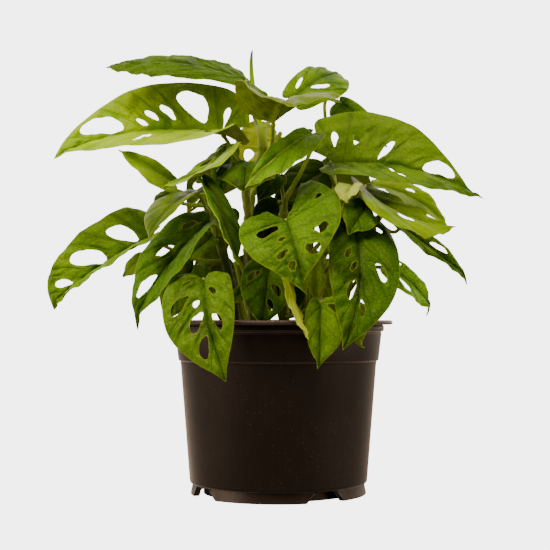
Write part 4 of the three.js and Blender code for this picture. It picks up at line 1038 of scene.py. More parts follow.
class Nodes:
    """Short ways to add and join shader nodes in one node tree."""

    def __init__(self, tree: bpy.types.NodeTree) -> None:
        """Takes the tree that nodes are added to."""
        self.tree = tree

    def add(self, kind: str, **settings: object) -> bpy.types.Node:
        """Adds a node.

        Args:
            kind: its type, without the words ShaderNode.
            **settings: its properties, and after in_ the name of an input and its value.

        Returns:
            the node.
        """
        node = self.tree.nodes.new("ShaderNode" + kind)
        for key, value in settings.items():
            if key.startswith("in_"):
                node.inputs[key[3:].replace("_", " ")].default_value = value
            else:
                setattr(node, key, value)
        return node

    def join(self, source: Socket, target: Socket) -> None:
        """Links an output to an input."""
        self.tree.links.new(source, target)

    def feed(self, value: object, target: Socket) -> None:
        """Gives an input a value, or links it where the value is another node's output.

        Args:
            value: a number, a colour or an output.
            target: the input.
        """
        if isinstance(value, Socket):
            self.join(value, target)
        else:
            target.default_value = value

    def value(self, operation: str, *values: object) -> Socket:
        """A Math node.

        Args:
            operation: what it does.
            *values: numbers or outputs.

        Returns:
            its output.
        """
        node = self.add("Math", operation=operation)
        for socket, value in zip(node.inputs, values):
            self.feed(value, socket)
        return node.outputs[0]

    def times(self, *values: object) -> Socket:
        """The product of two values."""
        return self.value("MULTIPLY", *values)

    def plus(self, *values: object) -> Socket:
        """The sum of two values."""
        return self.value("ADD", *values)

    def blend(self, share: object, first: object, second: object, way: str = "MIX") -> Socket:
        """A Mix node for colours.

        Args:
            share: how much of the second colour there is, 0..1.
            first: a colour or an output.
            second: the same.
            way: how the two are mixed.

        Returns:
            its output.
        """
        node = self.add("Mix", data_type="RGBA", blend_type=way, clamp_factor=True)
        for index, value in ((0, share), (6, first), (7, second)):
            self.feed(value, node.inputs[index])
        return node.outputs[2]

    def ramp(self, source: Socket, start: Numbers, end: Numbers) -> Socket:
        """A smooth step from one value to another.

        Args:
            source: what the step follows.
            start: the source's value where the step begins, and the result there.
            end: the same where it ends.

        Returns:
            its output.
        """
        node = self.add("MapRange", interpolation_type="SMOOTHSTEP")
        self.join(source, node.inputs[0])
        for index, value in ((1, start[0]), (2, end[0]), (3, start[1]), (4, end[1])):
            node.inputs[index].default_value = value
        return node.outputs[0]

    def line(self, distance: Socket, width: float) -> Socket:
        """A smooth mask that is 1 at zero distance and 0 from the width on."""
        return self.ramp(distance, (0.0, 1.0), (width, 0.0))

    def mark(self, name: str) -> Socket:
        """The value of a mesh mark."""
        return self.add("Attribute", attribute_name=name, attribute_type="GEOMETRY").outputs["Fac"]

    def stretch(self, place: Socket, scale: Numbers) -> Socket:
        """A place with each of its directions scaled.

        Args:
            place: the place.
            scale: a factor for each direction.

        Returns:
            the scaled place.
        """
        node = self.add("Mapping", in_Scale=scale)
        self.join(place, node.inputs["Vector"])
        return node.outputs[0]

    def noise(self, place: Socket, scale: float, detail: float, output: str = "Fac") -> Socket:
        """Soft noise.

        Args:
            place: where the noise is taken.
            scale: how many lumps there are in one unit of the place.
            detail: how many finer layers are added.
            output: Fac for one value around 0.5, Color for three.

        Returns:
            its output.
        """
        node = self.add("TexNoise", in_Scale=scale, in_Detail=detail)
        self.join(place, node.inputs["Vector"])
        return node.outputs[output]


def new_group(name: str, inputs: dict[str, str], outputs: dict[str, str]) -> tuple[Nodes, dict, dict]:
    """An empty shader node group.

    Args:
        name: the group's name.
        inputs: socket names and kinds, such as "Float" or "Color".
        outputs: the same for its outputs.

    Returns:
        its Nodes, and its input and output sockets by name.
    """
    tree = bpy.data.node_groups.new(name, "ShaderNodeTree")
    for way, sockets in (("INPUT", inputs), ("OUTPUT", outputs)):
        for key, kind in sockets.items():
            tree.interface.new_socket(key, in_out=way, socket_type="NodeSocket" + kind)
    start, end = tree.nodes.new("NodeGroupInput"), tree.nodes.new("NodeGroupOutput")
    return Nodes(tree), {s.name: s for s in start.outputs}, {s.name: s for s in end.inputs}


@dataclass(frozen=True)
class LeafSkin:
    """The pattern that all leaves share.

    Bands and lines are widths in mm, scales are lumps in a decimetre, and shares are how much shows.
    """

    vein_band: float = 2.6  # deep green beside a side vein
    rib_band: float = 5.0  # and beside the midrib
    vein_line: float = 0.4  # the hair line on a side vein
    rib_line: float = 0.8
    rim_line: float = 0.7
    net_line: float = 0.16  # in meshes of the net
    net_scale: float = 42.0
    cloud_scale: float = 11.0
    patch_scale: float = 4.5
    warp_scale: float = 30.0
    warp: float = 0.03  # how far the net's places move, in decimetres
    fine_scale: float = 160.0
    mottle_gain: float = 4.4  # contrast of the patches at a mottle of 1
    patch_middle: float = 0.47  # the value of the patches' noise where bright and deep are even
    under_vein: float = 0.9
    under_rib: float = 1.6
    under_share: float = 0.55  # of the pale veins on the underside

    def net(self, n: Nodes, place: Socket) -> Socket:
        """The mask of the fine net of veins: the borders of cells whose places are a little warped.

        Args:
            n: the group's nodes.
            place: the flat place on the leaf.

        Returns:
            1 on a fine vein, 0 in a mesh.
        """
        warp = n.add("VectorMath", operation="MULTIPLY_ADD")
        n.join(n.noise(place, self.warp_scale, 2.0, "Color"), warp.inputs[0])
        warp.inputs[1].default_value = (self.warp,) * 3
        n.join(place, warp.inputs[2])
        cells = n.add(
            "TexVoronoi", feature="DISTANCE_TO_EDGE", voronoi_dimensions="2D", in_Scale=self.net_scale)
        n.join(warp.outputs[0], cells.inputs["Vector"])
        return n.line(cells.outputs["Distance"], self.net_line)

    def group(self) -> bpy.types.NodeTree:
        """Leaf skin: green between and along the veins, pale lines, fine net, margin and underside.

        Returns:
            the node group, with the finish's colours as its inputs.
        """
        n, given, out = new_group(
            "leaf skin",
            {"Bright": "Color", "Deep": "Color", "Line": "Color", "Under": "Color", "Rim": "Color",
             "Net": "Float", "Mottle": "Float"},
            {"Color": "Color", "Gloss": "Float", "Height": "Float"})
        place = n.add("UVMap", uv_map="flat").outputs[0]
        vein, rib, rim, under, tone = (n.mark(key) for key in ("vein", "rib", "rim", "under", "tone"))
        # the green: deep along the veins, bright between them, unevenly mixed
        cloud = n.noise(place, self.cloud_scale, 4.0)
        patch = n.noise(place, self.patch_scale, 5.0)
        along = n.value("MAXIMUM", n.times(n.line(vein, self.vein_band), 0.5), n.line(rib, self.rib_band))
        along = n.times(along, n.plus(cloud, 0.45))
        contrast = n.times(given["Mottle"], self.mottle_gain)
        swing = n.times(n.value("SUBTRACT", patch, self.patch_middle), contrast)
        green = n.blend(n.plus(n.times(along, 0.6), swing), given["Bright"], given["Deep"])
        # a net of fine veins, which are a little deeper than their meshes
        mesh = self.net(n, place)
        green = n.blend(n.times(mesh, n.times(given["Net"], 0.8)), green, given["Deep"])
        # hair lines on the veins, and a pale one here and there along the margin
        thin = n.times(n.line(vein, self.vein_line), 0.4)
        rail = n.times(n.line(rib, self.rib_line), 0.6)
        green = n.blend(n.value("MAXIMUM", thin, rail), green, given["Line"])
        broken = n.times(n.line(rim, self.rim_line), n.plus(patch, 0.15))
        green = n.blend(broken, green, given["Rim"])
        # the underside: matt and pale, with its veins paler still
        below = n.blend(n.times(mesh, 0.25), given["Under"], given["Rim"])
        below = n.blend(n.times(cloud, 0.25), below, given["Deep"])
        raised = n.value("MAXIMUM", n.line(vein, self.under_vein), n.line(rib, self.under_rib))
        below = n.blend(n.times(raised, self.under_share), below, given["Rim"])
        # the tone mark multiplies in each leaf's painted light and shade
        n.join(n.blend(1.0, n.blend(under, green, below), tone, "MULTIPLY"), out["Color"])
        n.join(n.plus(n.times(under, 0.22), n.times(cloud, 0.12)), out["Gloss"])
        grain = n.times(n.noise(place, self.fine_scale, 2.0), 0.25)
        n.join(n.value("SUBTRACT", grain, n.times(mesh, 0.7)), out["Height"])
        return n.tree


def principled(name: str, **sockets: object) -> tuple[bpy.types.Material, Nodes, bpy.types.Node]:
    """A material with one Principled shader.

    Args:
        name: the material's name.
        **sockets: values for the shader's own sockets.

    Returns:
        the material, its nodes and the shader.
    """
    material = bpy.data.materials.new(name)
    material.use_nodes = True
    shader = material.node_tree.nodes["Principled BSDF"]
    for key, value in sockets.items():
        shader.inputs[key.replace("_", " ")].default_value = value
    return material, Nodes(material.node_tree), shader


def raise_bump(n: Nodes, shader: bpy.types.Node, height: Socket, distance: float, strength: float) -> None:
    """Feeds a height to the shader's normal.

    Args:
        n: the material's nodes.
        shader: the material's shader.
        height: the height, in units of the distance.
        distance: metres.
        strength: how much of it shows, 0..1.
    """
    bump = n.add("Bump", in_Strength=strength, in_Distance=distance)
    n.join(height, bump.inputs["Height"])
    n.join(bump.outputs[0], shader.inputs["Normal"])


@dataclass
class LeafPaint:
    """Makes each leaf finish once."""

    made: dict[str, bpy.types.Material] = field(default_factory=dict)
    group: Optional[bpy.types.NodeTree] = None

    def material(self, look: Look) -> bpy.types.Material:
        """The material of a look, which is mixed the first time.

        Args:
            look: the finish.

        Returns:
            its material.
        """
        if look.name not in self.made:
            self.made[look.name] = self.mix(look)
        return self.made[look.name]

    def mix(self, look: Look) -> bpy.types.Material:
        """A new leaf material: the leaf skin group in front of a semi-gloss shader.

        Args:
            look: the finish.

        Returns:
            the material.
        """
        finish = look.value
        self.group = self.group or LeafSkin().group()
        material, n, shader = principled(
            "leaf_" + look.name.lower(), IOR=1.45, Specular_IOR_Level=0.15, Specular_Tint=finish.sheen)
        skin = n.tree.nodes.new("ShaderNodeGroup")
        skin.node_tree = self.group
        for key in ("bright", "deep", "line", "under", "rim"):
            skin.inputs[key.capitalize()].default_value = linear(getattr(finish, key))
        skin.inputs["Net"].default_value = finish.net
        skin.inputs["Mottle"].default_value = finish.mottle
        n.join(skin.outputs["Color"], shader.inputs["Base Color"])
        n.join(n.plus(skin.outputs["Gloss"], finish.rough - 0.06), shader.inputs["Roughness"])
        raise_bump(n, shader, skin.outputs["Height"], 0.0001, 0.8)
        return material


@dataclass(frozen=True)
class StemFinish:
    """Olive green skin with long faint lines, painted shade low down, paler at the joints and on a young
    stretch that also carries painted light.
    """

    light: Numbers = (178, 194, 84)
    body: Numbers = (110, 136, 12)
    # the colour of the painted shade low down on stems and stalks
    shade: Numbers = (34, 44, 4)
    rough: float = 0.42

    def material(self) -> bpy.types.Material:
        """Mixes the stems' and stalks' finish.

        Returns:
            the material.
        """
        material, n, shader = principled(
            "stem_skin", IOR=1.45, Specular_IOR_Level=0.2, Specular_Tint=(1.0, 0.95, 0.5, 1.0))
        flat = n.add("UVMap", uv_map="flat").outputs[0]
        lines = n.noise(n.stretch(flat, (0.16, 1.0, 1.0)), 90.0, 3.0)
        cloud = n.noise(flat, 12.0, 3.0)
        colour = n.blend(n.times(lines, 0.4), linear(self.body), linear(self.light))
        # paler joints, sheaths and knees, and the young stretch, which is partly painted light
        colour = n.blend(n.times(n.mark("joint"), 0.4), colour, linear(self.light))
        # painted shade: the skin darkens low down, where the stems stand in the shade of the leaves
        colour = n.blend(n.times(n.mark("age"), n.plus(cloud, 0.3)), colour, linear(self.shade))
        n.join(colour, shader.inputs["Base Color"])
        n.join(n.plus(n.times(cloud, 0.2), self.rough - 0.1), shader.inputs["Roughness"])
        raise_bump(n, shader, lines, 0.00015, 0.6)
        return material


@dataclass(frozen=True)
class PotFinish:
    """Brown-black satin plastic with dust, faint upright scuffs and a fine grain."""

    body: Numbers = (16, 9, 5)
    # the dust colour, also used for the painted highlight on the body's corners
    dust: Numbers = (104, 88, 74)
    rough: float = 0.42

    def material(self) -> bpy.types.Material:
        """Mixes the pot's finish: dust is a haze, lies on the corners with a painted highlight and sticks
        as small dots.

        Returns:
            the material.
        """
        material, n, shader = principled(
            "pot_plastic", IOR=1.5, Specular_IOR_Level=0.26, Specular_Tint=(1.0, 0.78, 0.66, 1.0),
            Sheen_Weight=0.88, Sheen_Roughness=0.3, Sheen_Tint=(1.0, 0.8, 0.68, 1.0))
        place = n.add("TexCoord").outputs["Object"]
        streak = n.noise(n.stretch(place, (1.0, 1.0, 0.04)), 900.0, 4.0)
        cloud = n.noise(place, 28.0, 5.0)
        grain = n.noise(place, 2600.0, 2.0)
        specks = n.add("TexVoronoi", in_Scale=420.0)
        n.join(place, specks.inputs["Vector"])
        dots = n.times(n.line(specks.outputs["Distance"], 0.16), n.value("GREATER_THAN", cloud, 0.5))
        haze = n.times(n.times(cloud, streak), 0.16)
        # the edge mark paints dust and a pale painted highlight on the body's corners, and dust on the
        # foot's lower edge
        share = n.plus(n.value("MAXIMUM", haze, n.times(n.mark("edge"), 0.6)), n.times(dots, 0.8))
        n.join(n.blend(share, linear(self.body), linear(self.dust)), shader.inputs["Base Color"])
        rough = n.plus(n.times(cloud, 0.16), n.times(streak, 0.12))
        n.join(n.plus(rough, self.rough - 0.14), shader.inputs["Roughness"])
        raise_bump(n, shader, n.plus(n.times(streak, 0.5), n.times(grain, 0.5)), 0.00006, 0.7)
        return material


@dataclass(frozen=True)
class SoilFinish:
    """Damp peat: dark brown, with paler fibres and crumbs."""

    dark: Numbers = (34, 22, 15)
    light: Numbers = (86, 62, 42)

    def material(self) -> bpy.types.Material:
        """Mixes the soil's finish.

        Returns:
            the material.
        """
        material, n, shader = principled("soil_peat", Roughness=0.95)
        place = n.add("TexCoord").outputs["Object"]
        cloud, fine = n.noise(place, 220.0, 6.0), n.noise(place, 1400.0, 4.0)
        share = n.times(n.times(cloud, fine), 1.7)
        n.join(n.blend(share, linear(self.dark), linear(self.light)), shader.inputs["Base Color"])
        raise_bump(n, shader, n.plus(cloud, fine), 0.0008, 0.9)
        return material


# ------------------------------------------------------------------ pot and soil


@dataclass
class Pot:
    """The nursery pot: flat lip, bead, rim band, tapered body and a foot ring with four openings."""

    height: float = 98.0
    flange: float = 65.0
    under: float = 95.6  # lower face of the flange
    bead: float = 60.0
    band: tuple[float, float] = (58.7, 56.9)  # radius of the rim band at its top and bottom
    band_z: tuple[float, float] = (91.0, 75.6)
    shoulder: float = 55.7
    base: float = 50.4
    wall: float = 1.3
    inner: float = 54.0  # radius of the inside where it ends, deep in the soil
    inner_z: float = 70.0
    dust_and_highlight_corners: tuple[int, ...] = (5, 6, 8, 9, 13, 14, 15)  # corners of the outline that get dust and a painted highlight
    foot_z: float = 6.6
    foot: tuple[float, float] = (49.8, 46.3)  # outer and inner radius on the ground
    skirt: tuple[float, float] = (41.2, 42.4)  # ring under the floor, behind the openings
    openings: Numbers = (-58, 31.5, 121.5, 211.5)  # degrees from the show side towards +X
    opening: tuple[float, float] = (13.0, 24.0)  # width at the top and on the ground
    sides: int = 216

    def outline(self) -> Array:
        """Corners of the section, from the floor up the outside and down the inside.

        Returns:
            radius, z and bevel of each corner.
        """
        w = self.wall
        (b1, b0), (z1, z0) = self.band, self.band_z
        return np.array([
            [0, 5.6, 0], [self.foot[1] - 1, 5.6, 0.2], [self.base - 1.0, 6.2, 0.4],
            [self.base, 7.2, 0.5], [self.shoulder, 74.8, 0.4], [b0, z0, 0.35],
            [b1, z1, 0.35], [b1 - 0.5, z1 + 0.5, 0.2], [self.bead - 0.4, z1 + 0.8, 0.25],
            [self.bead, z1 + 1.5, 0.4], [self.bead, self.under - 0.9, 0.4],
            [self.bead - 0.8, self.under, 0.3], [self.flange - 0.5, self.under, 0.35],
            [self.flange, self.under + 0.7, 0.5], [self.flange - 0.2, self.height - 0.5, 0.5],
            [self.flange - 1.2, self.height, 0.5], [b1 - w + 0.4, self.height, 0.4],
            [b1 - w, self.height - 0.8, 0.4], [b0 - w, z0, 0.4], [self.inner, self.inner_z, 0.2],
            [0, self.inner_z, 0]])

    def foot_ring(self, shell: Shell) -> None:
        """Adds the ring: a closed section whose ground edge rises over each opening.

        The lower edge is 0 on a foot and the ring's height in an opening, with a straight slope
        between, from the distance along the ring to the nearest opening's middle.

        Args:
            shell: what the ring is added to.
        """
        turn = np.linspace(0, math.tau, 540, endpoint=False)
        show = np.degrees(turn) + 90
        gap = np.min([np.abs((show - x + 180) % 360 - 180) for x in self.openings], axis=0)
        along = np.radians(gap) * self.foot[0]
        top, ground = self.opening[0] / 2, self.opening[1] / 2
        low = np.clip((ground - along) / (ground - top), 0, 1) * (self.foot_z - 0.6)
        (outer, inner), high = self.foot, self.foot_z + 0.1
        # radius, and z from 0 at the lower edge to 1 at the upper
        section = np.array([[outer - 1.3, 1], [outer, 0.06], [outer - 0.3, 0], [inner + 0.3, 0],
                            [inner, 0.06], [inner - 1.2, 1]])
        z = low[:, None] + section[None, :, 1] * (high - low[:, None])
        radius = np.repeat(section[None, :, 0], len(turn), 0)
        grid = circle(len(turn))[:, None] * radius[..., None]
        grid[..., 2] = z
        edge = np.repeat(np.array([[0, 0.5, 1, 0.4, 0.2, 0]]), len(turn), 0)
        shell.add_grid(grid[:, ::-1], (True, True), edge=edge, u=radius, v=z)

    def build(self) -> bpy.types.Object:
        """Turns the body, then adds the foot ring and the skirt behind its openings.

        Returns:
            the pot as one piece.
        """
        shell = Shell()
        corners = self.outline()
        curve = np.array([0.0, 1, 1, 0])  # dust and painted highlight over the points of one corner's curve
        lip = np.isin(np.arange(len(corners)), self.dust_and_highlight_corners)
        lathe(shell, rounded(corners, len(curve)), self.sides, 0.12, edge=np.outer(lip, curve).ravel())
        self.foot_ring(shell)
        inside, outside = self.skirt
        floor = self.foot_z - 0.6
        ring = [[inside, floor], [inside, 0.6], [outside, 0.4], [outside, floor], [inside, floor]]
        lathe(shell, np.array(ring), 120, edge=np.zeros(len(ring)))
        return shell.build("pot_body")


@dataclass
class Soil:
    """The crumbly top of the soil, with a side and a floor below it."""

    top: float = 82.0
    reach: float = 56.2
    floor: float = 71.0
    taper: float = 0.955  # the floor's radius over the top's
    crumbs: int = 420
    crumb: tuple[float, float] = (0.4, 1.3)  # smallest and largest
    spread: float = 53.0  # how far from the axis the crumbs lie

    def lumps(self, flat: Array) -> Array:
        """The slow and the quicker noise that the soil's surface follows.

        Args:
            flat: places on the soil.

        Returns:
            the height in mm over the soil's level.
        """
        return 0.55 * waves(flat, 17.0, 5) + 0.4 * waves(flat, 5.5, 6)

    def scatter(self, shell: Shell) -> None:
        """Adds loose crumbs: small octahedra with their corners moved at random.

        Args:
            shell: what they are added to.
        """
        rng = np.random.default_rng(12)
        corner = np.array([[1, 0, 0], [-1, 0, 0], [0, 1, 0], [0, -1, 0], [0, 0, 1], [0, 0, -1]], float)
        faces = np.array([[0, 2, 4], [2, 1, 4], [1, 3, 4], [3, 0, 4], [2, 0, 5], [1, 2, 5], [3, 1, 5],
                          [0, 3, 5]])
        angle = rng.uniform(0, math.tau, self.crumbs)
        out = np.sqrt(rng.uniform(0, 1, self.crumbs)) * self.spread
        centre = np.stack([out * np.cos(angle), out * np.sin(angle)], -1)
        level = self.lumps(centre) + self.top + 0.5
        size = rng.uniform(*self.crumb, (self.crumbs, 1, 1))
        blobs = corner[None] * size * rng.uniform(0.7, 1.3, (self.crumbs, len(corner), 1))
        blobs += np.concatenate([centre, level[:, None]], -1)[:, None]
        shell.add(blobs, faces[None] + len(corner) * np.arange(self.crumbs)[:, None, None])

    def build(self, feet: Sequence[Numbers]) -> bpy.types.Object:
        """A lumpy disc that rises round each stem, its side and floor, and loose crumbs.

        Args:
            feet: x and y of each stem where it leaves the soil.

        Returns:
            the soil as one piece.
        """
        shell = Shell()
        ring = circle(120)
        reach = np.concatenate([[0.0], np.linspace(0.02, 1, 46) ** 0.8]) * self.reach
        flat = ring[:, None, :2] * reach[:, None]
        near = np.min([np.linalg.norm(flat - foot, axis=-1) for foot in feet], axis=0)
        z = self.top + 0.3 + self.lumps(flat) + 0.25 * waves(flat, 2.4, 8) + 0.8 * falloff(near, 7.0)
        z[:, 0] = z[:, 0].mean()
        disc = np.concatenate([flat, z[..., None]], -1)
        shell.add_grid(disc[:, ::-1][::-1], (True, False))
        rim = disc[:, -1]
        lower = rim * [self.taper, self.taper, 0] + [0, 0, self.floor]
        middle = np.zeros_like(rim) + [0, 0, self.floor]
        shell.add_grid(np.stack([middle, lower, rim], 1), (True, False))
        self.scatter(shell)
        return shell.build("soil_top", sharp=60.0)


# ------------------------------------------------------------------ stems and the new leaf


@dataclass
class Stem:
    """A climbing stem with joints, and the stalks of its leaves."""

    name: str
    foot: Numbers  # x and y where it stands
    route: Sequence[Numbers]  # points above the soil
    upright: Numbers = (52, 67, 86)  # heights of the points below the route, in and on the soil
    radius: float = 2.85
    stalk: float = 1.15
    joint: float = 19.0  # mm between joints
    first: float = 6.0  # mm by which the joints are moved along it
    tapered: float = 9.0  # mm over which the end gets thinner
    end: float = 0.55  # how much of its girth is left at the end
    pale: float = 0.0  # height of a young, pale stretch that also carries painted light; 0 for none

    def at(self, places: Array) -> Array:
        """Points on the stem at places 0..1: upright from below the soil, then along its route."""
        return centripetal([(*self.foot, z) for z in self.upright] + list(self.route), places)

    @staticmethod
    def age(path: Array, top: float, depth: float) -> Array:
        """How much painted shade the skin gets: 0 above the top and 1 from the depth below it, in mm."""
        return fade(top - path[:, 2], depth)

    def grow(self, shell: Shell) -> None:
        """Adds the stem: its radius swells by a bell at each joint and tapers to its end.

        Args:
            shell: what it is added to.
        """
        path = self.at(np.linspace(0.1, 1, 90))
        run = np.concatenate([[0], np.cumsum(np.linalg.norm(np.diff(path, axis=0), axis=1))])
        to_joint = np.abs((run + self.first) % self.joint - self.joint / 2)
        taper = np.clip((run[-1] - run) / self.tapered, self.end, 1)
        radius = self.radius * (0.9 + 0.14 * falloff(to_joint, 1.6)) * taper
        # a young stretch painted pale, partly its own colour and partly painted light where the stem is
        # lit
        young_and_lit = 2.5 * falloff(path[:, 2] - self.pale, 13.0)
        pale = np.maximum(young_and_lit, falloff(to_joint, 1.3))  # the joints are pale as well
        # the stem's skin gets painted shade low down
        tube(shell, path, radius, 22, joint=pale, age=self.age(path, 160, 50) * 0.9)

    def stalk_path(self, leaf: Leaf) -> Array:
        """A stalk's centre line: up from the stem, bowed out, to the blade from its underside.

        Args:
            leaf: the leaf that it carries.

        Returns:
            40 points from the stem to the blade.
        """
        start = self.at(np.array([leaf.start]))[0]
        base, _, axis, face = leaf.frame()
        reach = float(np.linalg.norm(start - base))
        approach = base - face * (0.16 * reach + 2) - axis * 0.1 * reach
        middle = (start + approach) / 2 + np.asarray(leaf.via, float) - [0, 0, 0.06 * reach]
        return centripetal([start, middle, approach, base - face * 0.75], np.linspace(0, 1, 40))

    def hang(self, shell: Shell, leaf: Leaf) -> None:
        """Adds a leaf's stalk: a sheath that clasps the stem, a slim middle and a thicker knee.

        Args:
            shell: what it is added to.
            leaf: the leaf that it carries.
        """
        path = self.stalk_path(leaf)
        t = np.linspace(0, 1, len(path))
        sheath, knee = 1 - fade(t, 0.45), falloff(t - 0.95, 0.06)
        radius = self.stalk * leaf.stalk * (0.92 + 0.6 * sheath**1.5 + 0.35 * knee)
        # the stalk's skin gets painted shade low down
        tube(shell, path, radius, 12, joint=0.5 * sheath + 0.6 * knee, age=self.age(path, 150, 70) * 0.8)

    def build(self) -> bpy.types.Object:
        """Grows the stem and hangs all its stalks on it.

        Returns:
            the stem and its stalks as one piece.
        """
        shell = Shell()
        self.grow(shell)
        for leaf in LEAVES.values():
            if leaf.stem == self.name:
                self.hang(shell, leaf)
        return shell.build(self.name + "_skin", sharp=60.0)


STEMS = (
    Stem("stem_centre", (-13, -6), ((-15, -10, 120), (-17, -9, 159), (-18.5, -7, 172), (-13, -4, 183),
                                    (-8.8, -2, 193), (-9.8, 2, 208.5)), end=1.0, pale=166.0),
    Stem("stem_left", (-24, 0), ((-27, -4, 118), (-35, -6, 148), (-43, -9, 168))),
    Stem("stem_right", (17, -4), ((21, -2, 120), (30, 0, 150), (35, 2, 176))),
    Stem("stem_front", (4, -20), ((3, -24, 115), (2, -22, 145), (4, -15, 166))),
    Stem("stem_back_left", (-14, 22), ((-17, 24, 120), (-18, 26, 155), (-14, 26, 178))),
    Stem("stem_back_right", (14, 20), ((16, 24, 120), (19, 26, 150), (20, 28, 176))),
)


@dataclass
class NewLeaf:
    """The unopened leaf: a slim roll with the edge of its blade wound round it."""

    base: Numbers = (-10.4, 2.6, 209.8)
    tip: Numbers = (-16.8, 10, 254)
    radius: float = 1.8
    heights: Numbers = (0, 0.2, 0.55, 0.85, 0.97, 1)  # shares of the height, and the girth at each
    girth: Numbers = (0.78, 1, 0.85, 0.6, 0.38, 0)
    winds: float = 1.6
    edge: float = 0.12  # how far the free edge stands out, as a share of the radius
    bow: Numbers = (-1.0, 0, 0)  # mm sideways at mid height
    hook: Numbers = (1.8, -9, -0.4)  # mm that the tip bends over
    sides: int = 40

    def build(self) -> bpy.types.Object:
        """The roll: its radius falls to the tip and steps in at the free edge, which winds round.

        Returns:
            the new leaf as one piece, with the marks of a leaf's finish.
        """
        base, tip = np.asarray(self.base, float), np.asarray(self.tip, float)
        height = float(np.linalg.norm(tip - base))
        t = np.concatenate([[0, 0, 0.004], np.linspace(0.02, 1, 60)])
        size = np.interp(t, self.heights, self.girth)
        size[0] = 0  # closes the lower end
        turn = np.linspace(0, math.tau, self.sides, endpoint=False)
        step = (turn[None] / math.tau + self.winds * t[:, None]) % 1
        radius = self.radius * size[:, None] * (1 - self.edge + self.edge * step)
        axis = (tip - base) / height
        across = unit(np.cross(axis, [0.0, 1, 0]))
        upward = np.cross(axis, across)
        ring = across * np.cos(turn)[:, None] + upward * np.sin(turn)[:, None]
        centre = base + axis * (t * height)[:, None]
        centre += np.sin(math.pi * t)[:, None] * np.asarray(self.bow, float)
        centre += (t**7)[:, None] * np.asarray(self.hook, float)
        grid = centre[:, None] + ring[None] * radius[..., None]
        step = step[:, ::-1]
        shell = Shell()
        shell.add_grid(
            grid[:, ::-1], (False, True), u=per_row(t * height, self.sides),
            v=np.repeat(turn[None] * 2, len(t), 0), vein=np.abs(step - 0.5) * 6, rim=(1 - step) * 8,
            rib=np.full(step.shape, 9.0), under=np.zeros(step.shape), tone=np.ones(step.shape))
        return shell.build("new_leaf_roll", sharp=50.0)


# ------------------------------------------------------------------ stage


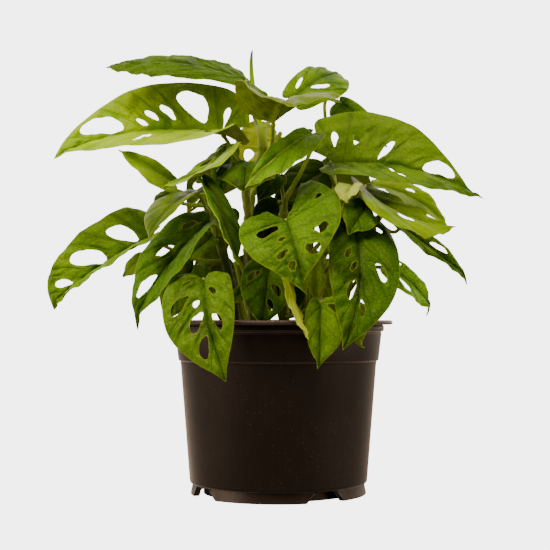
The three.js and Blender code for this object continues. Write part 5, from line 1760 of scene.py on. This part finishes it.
@dataclass
class Studio:
    """Pale floor, soft lights and the camera at the pot's height."""

    distance: float = 0.771
    height: float = 0.1015
    aside: float = -0.00194
    width: int = 550  # of the picture, in pixels
    pixels: float = 1350.0  # focal length in the same pixels
    rise: float = 39.0  # how far the horizon lies below the middle of the picture
    floor: Numbers = (80, 80, 80)
    floor_shade: Numbers = (74, 74, 74)
    warm: Numbers = (1.0, 0.87, 0.72)
    white: Numbers = (1.0, 1.0, 1.0, 1.0)
    bounce: float = 0.1  # what the floor gives back to the plant
    room: float = 0.04  # light from the dark room round the set
    paper: float = 2.0  # light from the white backdrop
    backdrop: float = 4.9  # the backdrop as it is seen
    glow: float = 4.8  # what the floor adds for the camera, so that it meets the backdrop
    target: Numbers = (0, 0, 0.13)  # what the lamps look at
    # name, place, size and power of each lamp
    lamps: Sequence[tuple[str, Numbers, Numbers, float]] = (
        ("top", (-0.3, -0.65, 1.5), (1.0, 1.0), 31.0),
        ("left", (-1.3, -0.45, 0.45), (1.0, 0.9), 18.0),
        ("right", (1.3, -0.45, 0.4), (1.0, 0.9), 14.0),
    )

    def camera(self, axis: Array) -> None:
        """Sets the camera before the pot, looking slightly up.

        Args:
            axis: the pot's axis, in metres.
        """
        data = bpy.data.cameras.new("camera")
        data.sensor_width = 36.0
        data.lens = self.pixels / self.width * data.sensor_width
        data.clip_end = 100.0
        camera = bpy.data.objects.new("camera", data)
        camera.location = (axis[0] + self.aside, axis[1] - self.distance, self.height)
        camera.rotation_euler = (math.pi / 2 + math.atan(self.rise / self.pixels), 0, 0)
        bpy.context.scene.collection.objects.link(camera)
        bpy.context.scene.camera = camera

    def ground(self) -> None:
        """Adds the floor: a wide disc under the feet, which the camera sees as bright as the backdrop."""
        shell = Shell()
        reach = np.array([0.0, 400, 2000, 12000])
        shell.add_grid(reach[:, None, None] * circle(96) - [0, 0, 0.02], (False, True))
        floor = shell.build("floor")
        material, n, shader = principled("floor_paper", Roughness=0.9)
        cloud = n.noise(n.add("TexCoord").outputs["Object"], 3.0, 3.0)
        tint = n.blend(n.times(cloud, 0.2), linear(self.floor), linear(self.floor_shade))
        n.join(tint, shader.inputs["Base Color"])
        seen = n.add("LightPath").outputs["Is Camera Ray"]
        n.join(n.blend(seen, (*self.warm, 1), self.white), shader.inputs["Emission Color"])
        glow = n.plus(n.times(seen, self.glow - self.bounce), self.bounce)
        n.join(glow, shader.inputs["Emission Strength"])
        floor.data.materials.append(material)

    def lamp(self, name: str, place: Numbers, size: Numbers, power: float) -> None:
        """Adds a soft light that looks at the plant.

        Args:
            name: the light's name.
            place: where it hangs.
            size: its width and height.
            power: watts.
        """
        data = bpy.data.lights.new(name, "AREA")
        data.shape, data.color = "RECTANGLE", self.warm
        data.size, data.size_y, data.energy = *size, power
        lamp = bpy.data.objects.new(name, data)
        lamp.location = place
        away = Vector(place) - Vector(self.target)
        lamp.rotation_euler = away.to_track_quat("Z", "Y").to_euler()
        bpy.context.scene.collection.objects.link(lamp)

    def lights(self) -> None:
        """Adds the lamps, and a sky that is dark in front and bright behind, as a white backdrop is."""
        world = bpy.data.worlds.new("studio")
        bpy.context.scene.world = world
        world.use_nodes = True
        n = Nodes(world.node_tree)
        sky = world.node_tree.nodes["Background"]
        way = n.add("SeparateXYZ")
        n.join(n.add("TexCoord").outputs["Generated"], way.inputs[0])
        behind = n.ramp(way.outputs["Y"], (-0.1, self.room), (0.8, self.paper))
        seen = n.add("LightPath").outputs["Is Camera Ray"]
        strength = n.add("Mix", data_type="FLOAT")
        for index, value in ((0, seen), (2, behind), (3, self.backdrop)):
            n.feed(value, strength.inputs[index])
        n.join(strength.outputs[0], sky.inputs["Strength"])
        n.join(n.blend(seen, (*self.warm, 1), self.white), sky.inputs["Color"])
        for lamp in self.lamps:
            self.lamp(*lamp)


# ------------------------------------------------------------------ the whole plant


@dataclass
class Planting:
    """Puts dressed pieces in their nodes' places, round the pot's axis."""

    axis: Array  # the pot's axis, in metres

    def shift(self, piece: bpy.types.Object) -> None:
        """Moves a piece's mesh to the axis, so that its object stays at the origin.

        Args:
            piece: the piece, built round the origin.
        """
        places = np.empty(len(piece.data.vertices) * 3, np.float32)
        piece.data.vertices.foreach_get("co", places)
        places = (places.reshape(-1, 3) + self.axis).astype(np.float32)
        piece.data.vertices.foreach_set("co", places.ravel())
        piece.data.update()

    def settle(self, piece: bpy.types.Object, node: str, material: bpy.types.Material) -> None:
        """Places and dresses a piece, rides it on the one body and reports it.

        Args:
            piece: the finished object.
            node: the CAD node that it stands for.
            material: its finish.
        """
        self.shift(piece)
        piece.data.materials.append(material)
        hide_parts(node)
        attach(piece, "root")
        LOG.info("%s stands for %s: %d triangles", piece.name, node, len(piece.data.polygons))


def main() -> None:
    """Loads the frame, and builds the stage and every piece."""
    logging.basicConfig(level=logging.INFO, format="%(name)s: %(message)s")
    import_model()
    low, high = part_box("pot")
    axis = np.array([(low[0] + high[0]) / 2, (low[1] + high[1]) / 2, 0.0])
    studio = Studio()
    studio.camera(axis)
    studio.ground()
    studio.lights()
    plant = Planting(axis)
    plant.settle(Pot().build(), "pot", PotFinish().material())
    plant.settle(Soil().build([stem.foot for stem in STEMS]), "soil", SoilFinish().material())
    skin = StemFinish().material()
    for stem in STEMS:
        plant.settle(stem.build(), stem.name, skin)
    paint = LeafPaint()
    plant.settle(NewLeaf().build(), "new_leaf", paint.material(Look.LIME))
    for name, leaf in LEAVES.items():
        plant.settle(Blade(name, leaf).build(), "leaf_" + name, paint.material(leaf.look))


if __name__ == "__main__":
    main()
